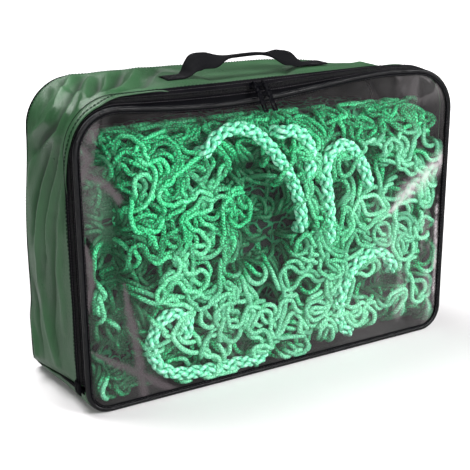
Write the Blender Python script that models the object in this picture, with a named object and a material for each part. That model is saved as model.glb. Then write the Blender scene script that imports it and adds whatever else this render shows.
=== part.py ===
"""A rope net packed in its zipped carry bag.

The bag stands on its bottom panel with its clear front panel facing -Y.
The origin is on the ground under the middle of the bag, +X is to the right
of the front panel and +Z is up. All dimensions are in metres.

The front panel opens on its bottom edge, two sliders run along its zip,
their pulls hang on them, and the handle swings on its two sewn ends.
"""

import math

import bmesh
import bpy
from mathutils import Vector

# Driving dimensions of the bag
WIDTH = 0.506
HEIGHT = 0.355
DEPTH = 0.160
TOP_RADIUS = 0.058
FRONT_FOOT_RADIUS = 0.030
BACK_FOOT_RADIUS = 0.012
CLOTH = 0.002
GAP = 0.0003

# The front's top edge droops between the corners, most at DROOP_X
DROOP = 0.016
DROOP_X = -0.070
DROOP_REACH = 0.250

# Panels, and the flat binding round the window
BACK_PANEL_Y = 0.0760
WINDOW_Y = -0.0773
BORDER_WIDTH = 0.0025
BORDER_FRONT_Y = -0.0790
BORDER_BACK_Y = -0.0774

# Edge trims and the zip
PIPING_RADIUS = 0.003
BINDING_RADIUS = 0.0025
BINDING_OUTSET = 0.0004
BINDING_POINTS = 8
TUBE_ROUNDS = 2
SEAM_SHARE = 0.22
COIL_RADIUS = 0.0013
TAPE_THICKNESS = 0.001
BAND_BACK_Y = -0.054
BAND_FRONT_Y = -0.0735
COIL_Y = -0.0655
COIL_INSET = 0.0020
COIL_DROOP = 0.35
COIL_SLIT = 0.0006
COIL_OFFSET = 0.0016
TAPE_START = 0.0033
INNER_TAPE_EDGE = 0.0065
FRONT_INSET = 0.003
END_TAB_SIZE = (0.0016, 0.0175, 0.0150)
END_TAB_OUTSET = 0.0040
END_TAB_Y = -0.0630
END_TAB_RISE = 0.0010
END_TAB_BEVEL = 0.0006

# Sliders and pulls
MEETING_X = -0.025
SLIDER_SPACING = 0.0125
SLIDER_SIZE = (0.0105, 0.0078, 0.0019)
SLIDER_HEIGHT = 0.0043
SLIDER_BEVEL = 0.0006
POST_SIZE = (0.0018, 0.0012, 0.0036)
POST_OFFSET = 0.0024
POST_HEIGHT = 0.0066
BRIDGE_SIZE = (0.0018, 0.0060, 0.0011)
BRIDGE_HEIGHT = 0.0086
BAND_TILT = math.radians(38)
PULL_LEAN = math.radians(40)
PULL_SIZE = (0.0060, 0.0014, 0.0340)
PULL_START = 0.0052
PULL_BEVEL = 0.0004
PIVOT_HEIGHT = 0.0092
PULL_STANDOFF = 0.0024
EYE_LENGTH = 0.0024
EYE_DROP = 0.0046
LOOP_SIZE = (0.0026, 0.0060, 0.0075)
LOOP_RISE = 0.0010

# Handle
TAB_OUTER_X = 0.109
TAB_INNER_X = 0.084
RISER_X = 0.0705
TAB_HALF_WIDTH = 0.0125
STRAP_HALF_WIDTH = 0.0070
WEBBING = 0.0025
STRAP_THICKNESS = 0.0040
STRAP_FOOT = 0.0120
STRAP_RISE = 0.0090
STRAP_GAP = 0.0008
STRAP_SPANS = 20
RISER_SPANS = 5
RISER_POWER = 1.3
RISER_CLEARANCE = 0.0010
HANDLE_PIVOT = 0.0040

# Net and border rope
NET_LOW = (-0.236, -0.0572, 0.0036)
NET_HIGH = (0.236, 0.0700, 0.3060)
NET_EDGE = 0.024
ROPE_DIAMETER = 0.015
ROPE_Y = -0.0663
ROPE_STEP = 0.0135
CURVE_STEPS = 20

# The border rope's runs in front of the net, as (x, z)
ROPE_RUNS = {
    "border_rope_crown": [
        (-0.092, 0.283), (-0.075, 0.299), (-0.053, 0.305), (-0.032, 0.299),
        (-0.012, 0.283), (0.008, 0.258), (0.024, 0.232), (0.035, 0.204), (0.038, 0.175),
    ],
    "border_rope_ring": [
        (0.009, 0.293), (0.024, 0.293), (0.039, 0.285), (0.048, 0.270), (0.050, 0.253), (0.047, 0.236),
    ],
    "border_rope_arch": [
        (0.080, 0.150), (0.079, 0.180), (0.075, 0.212), (0.071, 0.240), (0.079, 0.260),
        (0.096, 0.267), (0.113, 0.258), (0.127, 0.237), (0.136, 0.212),
    ],
    "border_rope_left": [
        (-0.122, 0.068), (-0.119, 0.084), (-0.131, 0.096), (-0.150, 0.093), (-0.163, 0.076),
        (-0.165, 0.054), (-0.156, 0.034), (-0.136, 0.021), (-0.106, 0.016), (-0.060, 0.014), (-0.020, 0.014),
    ],
    "border_rope_right": [
        (0.112, 0.020), (0.099, 0.033), (0.096, 0.053), (0.101, 0.077), (0.113, 0.101),
        (0.132, 0.117), (0.152, 0.120), (0.169, 0.112), (0.180, 0.095),
    ],
}

BLACK = (0.012, 0.012, 0.014, 1.0)
GREEN_CLOTH = (0.020, 0.110, 0.045, 1.0)
GREEN_CORD = (0.030, 0.420, 0.180, 1.0)


def blend(low, high, share):
    return low + (high - low) * share


def clear_scene():
    for item in list(bpy.data.objects):
        bpy.data.objects.remove(item, do_unlink=True)


def material(name, colour, roughness, metallic=0.0, alpha=1.0):
    made = bpy.data.materials.new(name)
    made.use_nodes = True
    shader = made.node_tree.nodes["Principled BSDF"]
    shader.inputs["Base Color"].default_value = colour
    shader.inputs["Roughness"].default_value = roughness
    shader.inputs["Metallic"].default_value = metallic
    shader.inputs["Alpha"].default_value = alpha
    return made


def link(item, surface, parent=None):
    bpy.context.scene.collection.objects.link(item)
    item.data.materials.append(surface)
    if parent is not None:
        item.parent = parent
        item.matrix_parent_inverse = parent.matrix_world.inverted()
    return item


def mesh_object(name, vertices, faces, surface, parent=None):
    data = bpy.data.meshes.new(name)
    data.from_pydata(vertices, [], faces)
    shape = bmesh.new()
    shape.from_mesh(data)
    bmesh.ops.recalc_face_normals(shape, faces=shape.faces)
    shape.to_mesh(data)
    shape.free()
    data.shade_smooth()
    data.set_sharp_from_angle(angle=math.radians(40))
    return link(bpy.data.objects.new(name, data), surface, parent)


def empty(name, place):
    made = bpy.data.objects.new(name, None)
    made.location = place
    bpy.context.scene.collection.objects.link(made)
    bpy.context.view_layer.update()
    return made


# The bag's outline. A station is a place on it, as (stretch, share along the stretch).

def stretch(name, steps, first=0):
    return [(name, i / steps) for i in range(first, steps + 1)]


def upper_stations():
    """From the left seam up, over the top and down to the right seam."""
    return (
        stretch("left", 6) + stretch("top_left", 8, 1) + stretch("top", 16, 1)
        + stretch("top_right", 8, 1) + stretch("right", 6, 1)
    )


def foot_stations():
    """From the right seam, under the bag, to the left seam."""
    return stretch("foot_right", 5) + stretch("foot", 6, 1) + stretch("foot_left", 5, 1)


def all_stations():
    return upper_stations() + foot_stations()[1:-1]


def foot_radius(y):
    """The foot's corner radius, which is also the height of the side seam."""
    return blend(FRONT_FOOT_RADIUS, BACK_FOOT_RADIUS, (y + DEPTH / 2) / DEPTH)


def droop_at(x):
    angle = math.pi / 2 * (x - DROOP_X) / DROOP_REACH
    return DROOP * math.cos(max(-math.pi / 2, min(math.pi / 2, angle))) ** 2


def rim(station, y, inset=0.0, droop=0.0, lift=0.0):
    """The point at a station. inset is how far it lies inside the outline, droop its share of
    the front edge's droop, and lift how far the side stretches' ends stay above the seam."""
    place, share = station
    half, high, low = WIDTH / 2, HEIGHT - TOP_RADIUS, foot_radius(y)
    if place in ("left", "right"):
        side = -1 if place == "left" else 1
        up = share if place == "left" else 1 - share
        return side * (half - inset), y, blend(low + lift, high, up)
    if place in ("top_left", "top_right"):
        side = -1 if place == "top_left" else 1
        turn = math.pi / 2 * (share if place == "top_left" else 1 - share)
        reach = TOP_RADIUS - inset
        x = side * (half - TOP_RADIUS + reach * math.cos(turn))
        return x, y, high + reach * math.sin(turn) - droop * droop_at(x) * math.sin(turn) ** 2
    if place == "top":
        x = blend(-half + TOP_RADIUS, half - TOP_RADIUS, share)
        return x, y, HEIGHT - inset - droop * droop_at(x)
    if place == "foot":
        return blend(half - low, -half + low, share), y, inset
    side = 1 if place == "foot_right" else -1
    turn = math.pi / 2 * (share if place == "foot_right" else 1 - share)
    reach = low - inset
    return side * (half - low + reach * math.cos(turn)), y, low - reach * math.sin(turn)


def band(stations, i, half, distance, height, lift=0.0):
    """A point of the sloping zip band: distance from the line where the coils meet, towards the
    gusset on the outer half or the front piping on the inner half, and height over the cloth.
    A distance of None is the half's far edge."""
    far = (BAND_BACK_Y, 0.0, 0.0) if half == "outer" else (BAND_FRONT_Y, FRONT_INSET, 1.0)
    middle = Vector(rim(stations[i], COIL_Y, COIL_INSET, COIL_DROOP, lift))
    across = Vector(rim(stations[i], *far, lift)) - middle
    near = [stations[max(i - 1, 0)], stations[min(i + 1, len(stations) - 1)]]
    before, after = (Vector(rim(s, COIL_Y, COIL_INSET, COIL_DROOP, lift)) for s in near)
    normal = (after - before).cross(across).normalized()
    if normal.dot(middle - Vector((0, 0, HEIGHT / 2))) < 0:
        normal.negate()
    reach = across.length - GAP if distance is None else distance
    return tuple(middle + across.normalized() * reach + normal * height)


def swept(name, stations, section, surface, parent=None):
    """A solid strip: section gives the closed outline of its cross-section at each station."""
    rows = [section(stations, i) for i in range(len(stations))]
    count = len(rows[0])
    vertices = [point for row in rows for point in row]
    faces = [list(range(count)), list(range(len(vertices) - count, len(vertices)))]
    for row in range(len(stations) - 1):
        for i in range(count):
            j = (i + 1) % count
            faces.append([row * count + i, row * count + j, (row + 1) * count + j, (row + 1) * count + i])
    return mesh_object(name, vertices, faces, surface, parent)


def plate(name, inset, droop, y_front, surface, parent=None):
    """A flat panel of cloth that fills the front's or the back's outline at this inset."""
    y_outline = math.copysign(DEPTH / 2, y_front)
    outline = [rim(s, y_outline, inset, droop) for s in all_stations()]
    rows = [[(x, y, z) for x, _, z in outline] for y in (y_front, y_front + CLOTH)]
    count = len(outline)
    faces = [list(range(count)), list(range(count, 2 * count))]
    for i in range(count):
        j = (i + 1) % count
        faces.append([i, j, count + j, count + i])
    return mesh_object(name, rows[0] + rows[1], faces, surface, parent)


def tube(name, points, radius, surface, closed=False, parent=None):
    data = bpy.data.curves.new(name, "CURVE")
    data.dimensions = "3D"
    data.bevel_depth = radius
    data.bevel_resolution = TUBE_ROUNDS
    data.use_fill_caps = not closed
    spline = data.splines.new("POLY")
    spline.points.add(len(points) - 1)
    for point, place in zip(spline.points, points):
        point.co = (*place, 1.0)
    spline.use_cyclic_u = closed
    return link(bpy.data.objects.new(name, data), surface, parent)


def smooth_route(route, step):
    """Points at even steps along a Catmull-Rom curve through the route's points."""
    ends = [route[0], *route, route[-1]]
    fine = []
    for i in range(1, len(ends) - 2):
        for k in range(CURVE_STEPS):
            t = k / CURVE_STEPS
            weights = (
                (-t + 2 * t * t - t**3) / 2,
                (2 - 5 * t * t + 3 * t**3) / 2,
                (t + 4 * t * t - 3 * t**3) / 2,
                (t**3 - t * t) / 2,
            )
            near = ends[i - 1:i + 3]
            fine.append(tuple(sum(w * p[a] for w, p in zip(weights, near)) for a in range(2)))
    fine.append(route[-1])
    lengths = [0.0]
    for a, b in zip(fine, fine[1:]):
        lengths.append(lengths[-1] + math.dist(a, b))
    count = max(3, round(lengths[-1] / step))
    points, at = [], 0
    for k in range(count + 1):
        target = lengths[-1] * k / count
        while at < len(lengths) - 2 and lengths[at + 1] < target:
            at += 1
        share = (target - lengths[at]) / (lengths[at + 1] - lengths[at])
        points.append(tuple(blend(fine[at][a], fine[at + 1][a], share) for a in range(2)))
    return points


def box(name, size, place, surface, parent=None, bevel=0.0, tilt=0.0):
    shape = bmesh.new()
    bmesh.ops.create_cube(shape, size=1.0)
    bmesh.ops.scale(shape, vec=size, verts=shape.verts)
    data = bpy.data.meshes.new(name)
    shape.to_mesh(data)
    shape.free()
    item = link(bpy.data.objects.new(name, data), surface)
    item.location = place
    item.rotation_euler = (tilt, 0, 0)
    if bevel:
        rounding = item.modifiers.new("rounding", "BEVEL")
        rounding.width = bevel
        rounding.segments = 3
    bpy.context.view_layer.update()
    if parent is not None:
        item.parent = parent
        item.matrix_parent_inverse = parent.matrix_world.inverted()
    data.shade_smooth()
    data.set_sharp_from_angle(angle=math.radians(40))
    return item


def joined(name, items):
    """The first item with the others united into it."""
    first = items[0]
    for cutter in items[1:]:
        union = first.modifiers.new("union", "BOOLEAN")
        union.operation = "UNION"
        union.object = cutter
        cutter.hide_render = True
        cutter.display_type = "WIRE"
    first.name = name
    return first


def bag_shell(cloth, black):
    back_edge = DEPTH / 2 - 2 * PIPING_RADIUS - GAP
    lift = BINDING_RADIUS + GAP

    def section(stations, i):
        return [
            rim(stations[i], back_edge, 0.0, 0.0, lift),
            rim(stations[i], BAND_BACK_Y, 0.0, 0.0, lift),
            band(stations, i, "outer", COIL_SLIT, 0.0, lift),
            band(stations, i, "outer", COIL_SLIT, -CLOTH, lift),
            rim(stations[i], BAND_BACK_Y, CLOTH, 0.0, lift),
            rim(stations[i], back_edge, CLOTH, 0.0, lift),
        ]

    swept("gusset_strip", upper_stations(), section, cloth)
    inner = FRONT_INSET + PIPING_RADIUS + GAP
    plate("back_panel", inner, 0.0, BACK_PANEL_Y, cloth)
    ring = [rim(s, DEPTH / 2 - PIPING_RADIUS, PIPING_RADIUS) for s in all_stations()]
    tube("back_piping", ring, PIPING_RADIUS, black, closed=True)
    bottom_panel(cloth, back_edge)
    seam_bindings(black, back_edge)


def bottom_panel(cloth, back_edge):
    """The floor of the bag, which turns up at both sides to meet the gusset's seams."""
    front_edge = -back_edge
    ends = [("foot_right", SEAM_SHARE)], [("foot_left", 1 - SEAM_SHARE)]
    stations = ends[0] + foot_stations()[2:-2] + ends[1]
    rows = []
    for y in (back_edge, DEPTH / 6, -DEPTH / 6, front_edge):
        rows.append([rim(s, y) for s in stations])
        rows.append([rim(s, y, CLOTH) for s in stations])
    count = len(stations)
    order = [0, 2, 4, 6, 7, 5, 3, 1]
    vertices = [rows[row][i] for i in range(count) for row in order]
    faces = [list(range(8)), list(range(8 * (count - 1), 8 * count))]
    for i in range(count - 1):
        for k in range(8):
            j = (k + 1) % 8
            faces.append([8 * i + k, 8 * i + j, 8 * (i + 1) + j, 8 * (i + 1) + k])
    mesh_object("bottom_panel", vertices, faces, cloth)


def seam_bindings(black, back_edge):
    for side, name in ((-1, "corner_binding_left"), (1, "corner_binding_right")):
        points = []
        for i in range(BINDING_POINTS):
            y = blend(back_edge - GAP, -back_edge + GAP, i / (BINDING_POINTS - 1))
            points.append((side * (WIDTH / 2 + BINDING_OUTSET), y, foot_radius(y)))
        tube(name, points, BINDING_RADIUS, black)


def zip_halves(black, front):
    """Tape and coil of the half sewn to the gusset and of the half sewn to the front strip."""
    lift = BINDING_RADIUS + 2 * CLOTH
    stations = upper_stations()
    places = range(len(stations))
    for half, parent, edge in (("outer", None, None), ("inner", front, INNER_TAPE_EDGE)):
        coil = [band(stations, i, half, COIL_OFFSET, COIL_RADIUS + GAP, lift) for i in places]
        tube("zip_coil_" + half, coil, COIL_RADIUS, black, parent=parent)

        def tape(stations, i, half=half, edge=edge):
            low, high = 2 * GAP, 2 * GAP + TAPE_THICKNESS
            corners = ((TAPE_START, low), (edge, low), (edge, high), (TAPE_START, high))
            return [band(stations, i, half, distance, height, lift) for distance, height in corners]

        swept("zip_tape_" + half, stations, tape, black, parent)

    def strip(stations, i):
        corners = ((COIL_SLIT, 0.0), (None, 0.0), (None, -CLOTH), (COIL_SLIT, -CLOTH))
        return [band(stations, i, "inner", distance, height, lift) for distance, height in corners]

    swept("front_strip", stations, strip, black, front)
    for side, name in ((-1, "zip_end_tab_left"), (1, "zip_end_tab_right")):
        place = (side * (WIDTH / 2 + END_TAB_OUTSET), END_TAB_Y, FRONT_FOOT_RADIUS + END_TAB_RISE)
        box(name, END_TAB_SIZE, place, black, bevel=END_TAB_BEVEL)


def front_panel(black, clear, front):
    ring = [rim(s, -DEPTH / 2 + PIPING_RADIUS, FRONT_INSET, 1.0) for s in all_stations()]
    tube("front_piping", ring, PIPING_RADIUS, black, closed=True, parent=front)
    inner = FRONT_INSET + PIPING_RADIUS + GAP
    plate("clear_window", inner, 1.0, WINDOW_Y, clear, front)
    window_binding(inner, black, front)


def window_binding(inner, black, front):
    """A flat border, sewn on the window's face all round."""
    stations = all_stations()
    count = len(stations)
    outer = inner + BORDER_WIDTH
    corners = (
        (BORDER_FRONT_Y, inner),
        (BORDER_FRONT_Y, outer),
        (BORDER_BACK_Y, outer),
        (BORDER_BACK_Y, inner),
    )
    vertices = []
    for station in stations:
        for y, inset in corners:
            x, _, z = rim(station, -DEPTH / 2, inset, 1.0)
            vertices.append((x, y, z))
    faces = []
    for i in range(count):
        after = (i + 1) % count
        for k in range(4):
            j = (k + 1) % 4
            faces.append([4 * i + k, 4 * i + j, 4 * after + j, 4 * after + k])
    mesh_object("window_binding", vertices, faces, black, front)


def slider(name, x, black, front):
    """A body that straddles the coils from outside, with a bridge for its pull."""
    tilt = BAND_TILT
    up = (-math.sin(tilt), math.cos(tilt))
    across = (math.cos(tilt), math.sin(tilt))
    base_z = HEIGHT - COIL_INSET - COIL_DROOP * droop_at(x)

    def placed(along, height):
        y = COIL_Y + across[0] * along + up[0] * height
        return x, y, base_z + across[1] * along + up[1] * height

    plate_place = placed(0, SLIDER_HEIGHT)
    bridge_place = placed(0, BRIDGE_HEIGHT)
    parts = [
        box(name + "_plate", SLIDER_SIZE, plate_place, black, front, SLIDER_BEVEL, tilt),
        box(name + "_post_a", POST_SIZE, placed(-POST_OFFSET, POST_HEIGHT), black, front, 0.0, tilt),
        box(name + "_post_b", POST_SIZE, placed(POST_OFFSET, POST_HEIGHT), black, front, 0.0, tilt),
        box(name + "_bridge", BRIDGE_SIZE, bridge_place, black, front, PULL_BEVEL, tilt),
    ]
    return joined(name, parts), placed(0, PIVOT_HEIGHT)


def pull(name, pivot, black, parent):
    """A bar that hangs beside the bridge on a bent eye and ends in an open loop."""
    width, thick, length = PULL_SIZE
    lean = PULL_LEAN

    def placed(along):
        y = pivot[1] - math.sin(lean) * along - math.cos(lean) * PULL_STANDOFF
        return pivot[0], y, pivot[2] - math.cos(lean) * along + math.sin(lean) * PULL_STANDOFF

    eye_size = (width, thick, EYE_LENGTH)
    middle = placed(PULL_START + length / 2)
    bar = box(name + "_bar", PULL_SIZE, middle, black, parent, PULL_BEVEL, -lean)
    eye = box(name + "_eye", eye_size, placed(EYE_DROP), black, parent, 0.0, -lean)
    loop = box(name + "_loop", LOOP_SIZE, placed(length - LOOP_RISE), black, parent, 0.0, -lean)
    joined(name, [bar, eye])
    cut = bar.modifiers.new("loop", "BOOLEAN")
    cut.operation = "DIFFERENCE"
    cut.object = loop
    loop.hide_render = True
    loop.display_type = "WIRE"


def ribbon(name, stations, thickness, surface, parent=None):
    """A strap along X through stations of (x, underside z, half width)."""
    vertices = []
    for x, z, half in stations:
        vertices += [(x, -half, z), (x, half, z), (x, half, z + thickness), (x, -half, z + thickness)]
    faces = [[0, 1, 2, 3], list(range(len(vertices) - 4, len(vertices)))]
    for i in range(len(stations) - 1):
        for k in range(4):
            j = (k + 1) % 4
            faces.append([4 * i + k, 4 * i + j, 4 * (i + 1) + j, 4 * (i + 1) + k])
    return mesh_object(name, vertices, faces, surface, parent)


def handle(black, swing):
    top = HEIGHT + GAP
    foot = HEIGHT + STRAP_FOOT
    for side, name in ((-1, "handle_tab_left"), (1, "handle_tab_right")):
        stations = [
            (side * TAB_OUTER_X, top, TAB_HALF_WIDTH),
            (side * TAB_INNER_X, top, TAB_HALF_WIDTH),
        ]
        for i in range(1, RISER_SPANS + 1):
            share = i / RISER_SPANS
            rise = (foot - RISER_CLEARANCE - top) * share**RISER_POWER
            half = blend(TAB_HALF_WIDTH, STRAP_HALF_WIDTH, share)
            stations.append((side * blend(TAB_INNER_X, RISER_X, share), top + rise, half))
        ribbon(name, stations, WEBBING, black)
    reach = RISER_X - STRAP_GAP
    strap = []
    for i in range(STRAP_SPANS + 1):
        x = blend(-reach, reach, i / STRAP_SPANS)
        strap.append((x, foot + STRAP_RISE * (1 - (x / reach) ** 4) ** 0.6, STRAP_HALF_WIDTH))
    ribbon("handle_strap", strap, STRAP_THICKNESS, black, swing)


def contents(cord):
    size = [high - low for low, high in zip(NET_LOW, NET_HIGH)]
    middle = [(high + low) / 2 for low, high in zip(NET_LOW, NET_HIGH)]
    box("net_bundle", size, middle, cord, bevel=NET_EDGE)
    for name, route in ROPE_RUNS.items():
        points = [(x, ROPE_Y, z) for x, z in smooth_route(route, ROPE_STEP)]
        tube(name, points, ROPE_DIAMETER / 2, cord)


def main():
    clear_scene()
    cloth = material("green_cloth", GREEN_CLOTH, 0.45)
    black = material("black_trim", BLACK, 0.6)
    clear = material("clear_film", (0.8, 0.85, 0.83, 1.0), 0.1, alpha=0.35)
    cord = material("green_cord", GREEN_CORD, 0.7)
    front = empty("front_hinge", (0, -DEPTH / 2 + PIPING_RADIUS, FRONT_INSET))
    swing = empty("handle_swing", (0, 0, HEIGHT + HANDLE_PIVOT))
    bag_shell(cloth, black)
    zip_halves(black, front)
    front_panel(black, clear, front)
    for name, side in (("left", -1), ("right", 1)):
        body, pivot = slider("slider_" + name, MEETING_X + side * SLIDER_SPACING / 2, black, front)
        pull("pull_" + name, pivot, black, body)
    handle(black, swing)
    contents(cord)


main()
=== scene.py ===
"""Looks of the rope net in its zipped carry bag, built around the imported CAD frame."""

import math

import bpy
import numpy as np
from mathutils import Matrix, Vector, noise
from mathutils.geometry import delaunay_2d_cdt


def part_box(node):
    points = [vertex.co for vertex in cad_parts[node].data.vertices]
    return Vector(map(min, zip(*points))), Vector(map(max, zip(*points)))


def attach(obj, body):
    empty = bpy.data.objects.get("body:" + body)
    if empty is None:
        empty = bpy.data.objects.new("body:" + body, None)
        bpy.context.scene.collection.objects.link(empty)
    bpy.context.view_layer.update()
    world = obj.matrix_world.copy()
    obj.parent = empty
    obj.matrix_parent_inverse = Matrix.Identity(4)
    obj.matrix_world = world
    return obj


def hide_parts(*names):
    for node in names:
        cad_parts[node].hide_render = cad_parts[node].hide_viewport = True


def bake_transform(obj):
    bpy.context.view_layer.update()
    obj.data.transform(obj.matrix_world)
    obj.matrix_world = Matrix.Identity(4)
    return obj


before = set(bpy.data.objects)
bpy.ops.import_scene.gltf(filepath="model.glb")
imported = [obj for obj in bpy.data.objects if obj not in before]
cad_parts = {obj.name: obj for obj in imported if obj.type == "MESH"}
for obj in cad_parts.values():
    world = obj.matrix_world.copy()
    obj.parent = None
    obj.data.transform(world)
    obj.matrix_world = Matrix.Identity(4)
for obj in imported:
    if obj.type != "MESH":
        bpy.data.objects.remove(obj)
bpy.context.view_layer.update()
scene = bpy.context.scene
rng = np.random.default_rng(11)


def mm(*points):
    """Points given in millimetres, in metres."""
    return [tuple(value / 1000 for value in point) for point in points]


# The bag's outline. Radii, droop and inset are the CAD model's own driving values.
HALF_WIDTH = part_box("gusset_strip")[1].x
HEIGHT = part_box("gusset_strip")[1].z
FRONT_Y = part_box("front_piping")[0].y
BACK_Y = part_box("back_piping")[1].y
TOP_RADIUS = 0.058
MIDDLE_FOOT_RADIUS = 0.020
FRONT_FOOT_RADIUS = 0.030
BACK_FOOT_RADIUS = 0.012
DROOP = 0.016
DROOP_X = -0.070
DROOP_REACH = 0.250
FRONT_INSET = 0.003
PIPING_RADIUS = 0.003
GAP = 0.0003

# The zip band, which slopes from the gusset down to the front piping
BAND_BACK_Y = -0.054
BAND_FRONT_Y = -0.0735
COIL_Y = -0.0655
COIL_INSET = 0.0020
COIL_DROOP = 0.35
COIL_SLIT = 0.0006
COIL_OFFSET = 0.0016
COIL_HEIGHT = 0.0016
COIL_PITCH = 0.0018
COIL_STEPS = 8
TAPE_START = 0.0033
INNER_TAPE_EDGE = 0.0065
BINDING_WIDTH = 0.0025

# Cloth: its thickness, where its edge ends inside the piping, and how far its stitches lie from
# its edge. Near the back seam the gusset turns in by the tuck, to meet the piping.
CLOTH = 0.0011
CLOTH_END = 0.0042
CLOTH_BACK_Y = BACK_Y - CLOTH_END
STITCH_INSET = 0.0045
TUCK = 0.0026
TUCK_REACH = 0.0060

# The back's top edge sinks a little towards the right, where nothing fills the bag, and its sides
# swell out low down
BACK_SAG = 0.011
LEFT_RISE = 0.0038
CORNER_SAG = 0.010
FRONT_SAG = 0.004
SIDE_SWELL = 0.0068
FOOT_SWELL = 0.0030
SHOULDER_PINCH = 0.0018

# The net: its cord, the beads that it is settled as, and its sheet's size and place
NET_CORD = 0.0060
BEAD = 0.0050
BAR = 0.075
NODE_SPACING = 0.0370
NET_FRONT_Y = -0.0744
NET_FLOOR = 0.0065
NET_FOLDS = 4
NET_SEED = 5
TWIN_SHIFT = 0.0075
FOLD_START = 0.008
FOLD_DEPTH = 0.0080
PACK_DEPTH = 0.040
SHEET_FRONT = 0.292
SHEET_HEIGHT = SHEET_FRONT + 0.118
NET_LEFT = -0.233
NET_RIGHT = 0.2455
EDGE_RADIUS = 0.058

# How far apart beads on the same cord stay, as (beads between them, share of the cord's length)
LEAST_SPANS = ((2, 0.975), (4, 0.90), (8, 0.62))

# Painted shade: cord that lies deeper in the pile is painted darker: by how much, and between which depths
# it darkens
SUNK_SHADE = 0.42
SUNK_START = 0.005
SUNK_END = 0.022

# Channels between the net's hanks, where it lies deeper in the bag, as (x, z, half width)
CHANNELS = [
    mm((-236, 276, 6), (-218, 266, 8), (-203, 240, 7), (-200, 200, 6),
       (-205, 160, 6), (-198, 118, 6), (-191, 80, 6), (-180, 4, 6)),
    mm((-247, 80, 5), (-222, 61, 5), (-192, 41, 5), (-164, 20, 5), (-139, 4, 5)),
    mm((-241, 300, 8), (-234, 260, 6), (-242, 200, 4)),
    mm((-62, 131, 4), (-19, 144, 5), (21, 148, 5)),
    mm((-12, 171, 7), (34, 168, 8)),
    mm((150, 68, 7), (190, 72, 6)),
    mm((-50, 246, 6), (-20, 244, 8)),
    mm((-30, 216, 6), (12, 206, 6)),
    mm((60, 4, 4), (165, 6, 6), (228, 14, 8)),
    mm((120, 226, 5), (142, 240, 6)),
]

# The border rope, and its runs in front of the net as (x, z)
ROPE_Y = -0.0663
ROPE_DIVE = 0.016
ROPE_CLEARANCE = 0.0104
ROPE_RUNS = {
    "border_rope_crown": mm(
        (-92, 283), (-75, 299), (-53, 305), (-32, 299), (-12, 283),
        (8, 258), (24, 232), (35, 204), (38, 175),
    ),
    "border_rope_ring": mm((9, 293), (24, 293), (39, 285), (48, 270), (50, 253), (47, 236)),
    "border_rope_arch": mm(
        (80, 150), (79, 180), (75, 212), (71, 240), (79, 260),
        (96, 267), (113, 258), (127, 237), (136, 212),
    ),
    "border_rope_left": mm(
        (-122, 68), (-119, 84), (-131, 96), (-150, 93), (-163, 76),
        (-165, 54), (-156, 34), (-136, 21), (-106, 16), (-60, 14), (-20, 14),
    ),
    "border_rope_right": mm(
        (112, 20), (99, 33), (96, 53), (101, 77), (113, 101),
        (132, 117), (152, 120), (169, 112), (180, 95),
    ),
}


# ---------------------------------------------------------------- camera and studio

def place_camera():
    """A long lens, to the left of the front and above it."""
    data = bpy.data.cameras.new("camera")
    data.sensor_width = 36.0
    data.lens = 79.8
    camera = bpy.data.objects.new("camera", data)
    camera.location = (-0.6245, -1.0665, 0.5626)
    yaw, pitch, roll = (math.radians(angle) for angle in (29.686, -18.463, -0.442))
    forward = Vector((math.sin(yaw) * math.cos(pitch), math.cos(yaw) * math.cos(pitch), math.sin(pitch)))
    right = forward.cross(Vector((0, 0, 1))).normalized()
    up = right.cross(forward)
    turned_right = right * math.cos(roll) + up * math.sin(roll)
    turned_up = up * math.cos(roll) - right * math.sin(roll)
    camera.rotation_mode = "QUATERNION"
    camera.rotation_quaternion = Matrix((turned_right, turned_up, -forward)).transposed().to_quaternion()
    scene.collection.objects.link(camera)
    scene.camera = camera


def softbox(name, place, target, size, power):
    data = bpy.data.lights.new("softbox_" + name, "AREA")
    data.shape = "RECTANGLE"
    data.size, data.size_y = size
    data.energy = power
    lamp = bpy.data.objects.new("softbox_" + name, data)
    lamp.location = place
    lamp.rotation_euler = (Vector(target) - Vector(place)).to_track_quat("-Z", "Y").to_euler()
    scene.collection.objects.link(lamp)


def studio():
    """A white floor and backdrop, and three soft lights."""
    mesh = bpy.data.meshes.new("floor")
    mesh.from_pydata([(-8, -8, 0), (8, -8, 0), (8, 8, 0), (-8, 8, 0)], [], [(0, 1, 2, 3)])
    floor = bpy.data.objects.new("floor", mesh)
    scene.collection.objects.link(floor)
    mesh.materials.append(studio_white())
    scene.world = bpy.data.worlds.new("studio")
    scene.world.use_nodes = True
    tree = scene.world.node_tree
    back = tree.nodes["Background"]
    back.inputs["Color"].default_value = (1, 1, 1, 1)
    path = put(tree, "LightPath")
    shown = {"Value": path.outputs["Is Camera Ray"], "To Min": 0.12, "To Max": 1.0}
    strength = put(tree, "MapRange", shown)
    tree.links.new(strength.outputs["Result"], back.inputs["Strength"])
    softbox("front", (1.3, -2.0, 1.5), (0.05, 0, 0.15), (1.6, 1.3), 104)
    softbox("top", (-0.55, 0.80, 2.05), (-0.05, 0, 0.2), (1.5, 0.9), 62)
    softbox("left", (-1.2, -2.0, 0.6), (-0.25, 0, 0.1), (0.3, 0.6), 20)
    scene.view_settings.view_transform = "Standard"


# ---------------------------------------------------------------- material tools

def put(tree, kind, inputs=None, **settings):
    """Adds a node. Each input is a constant, a field or another node's socket."""
    made = tree.nodes.new("ShaderNode" + kind)
    for key, value in settings.items():
        setattr(made, key, value)
    for key, value in (inputs or {}).items():
        value = getattr(value, "socket", value)
        if isinstance(value, bpy.types.NodeSocket):
            tree.links.new(value, made.inputs[key])
        else:
            made.inputs[key].default_value = value
    return made


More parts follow.
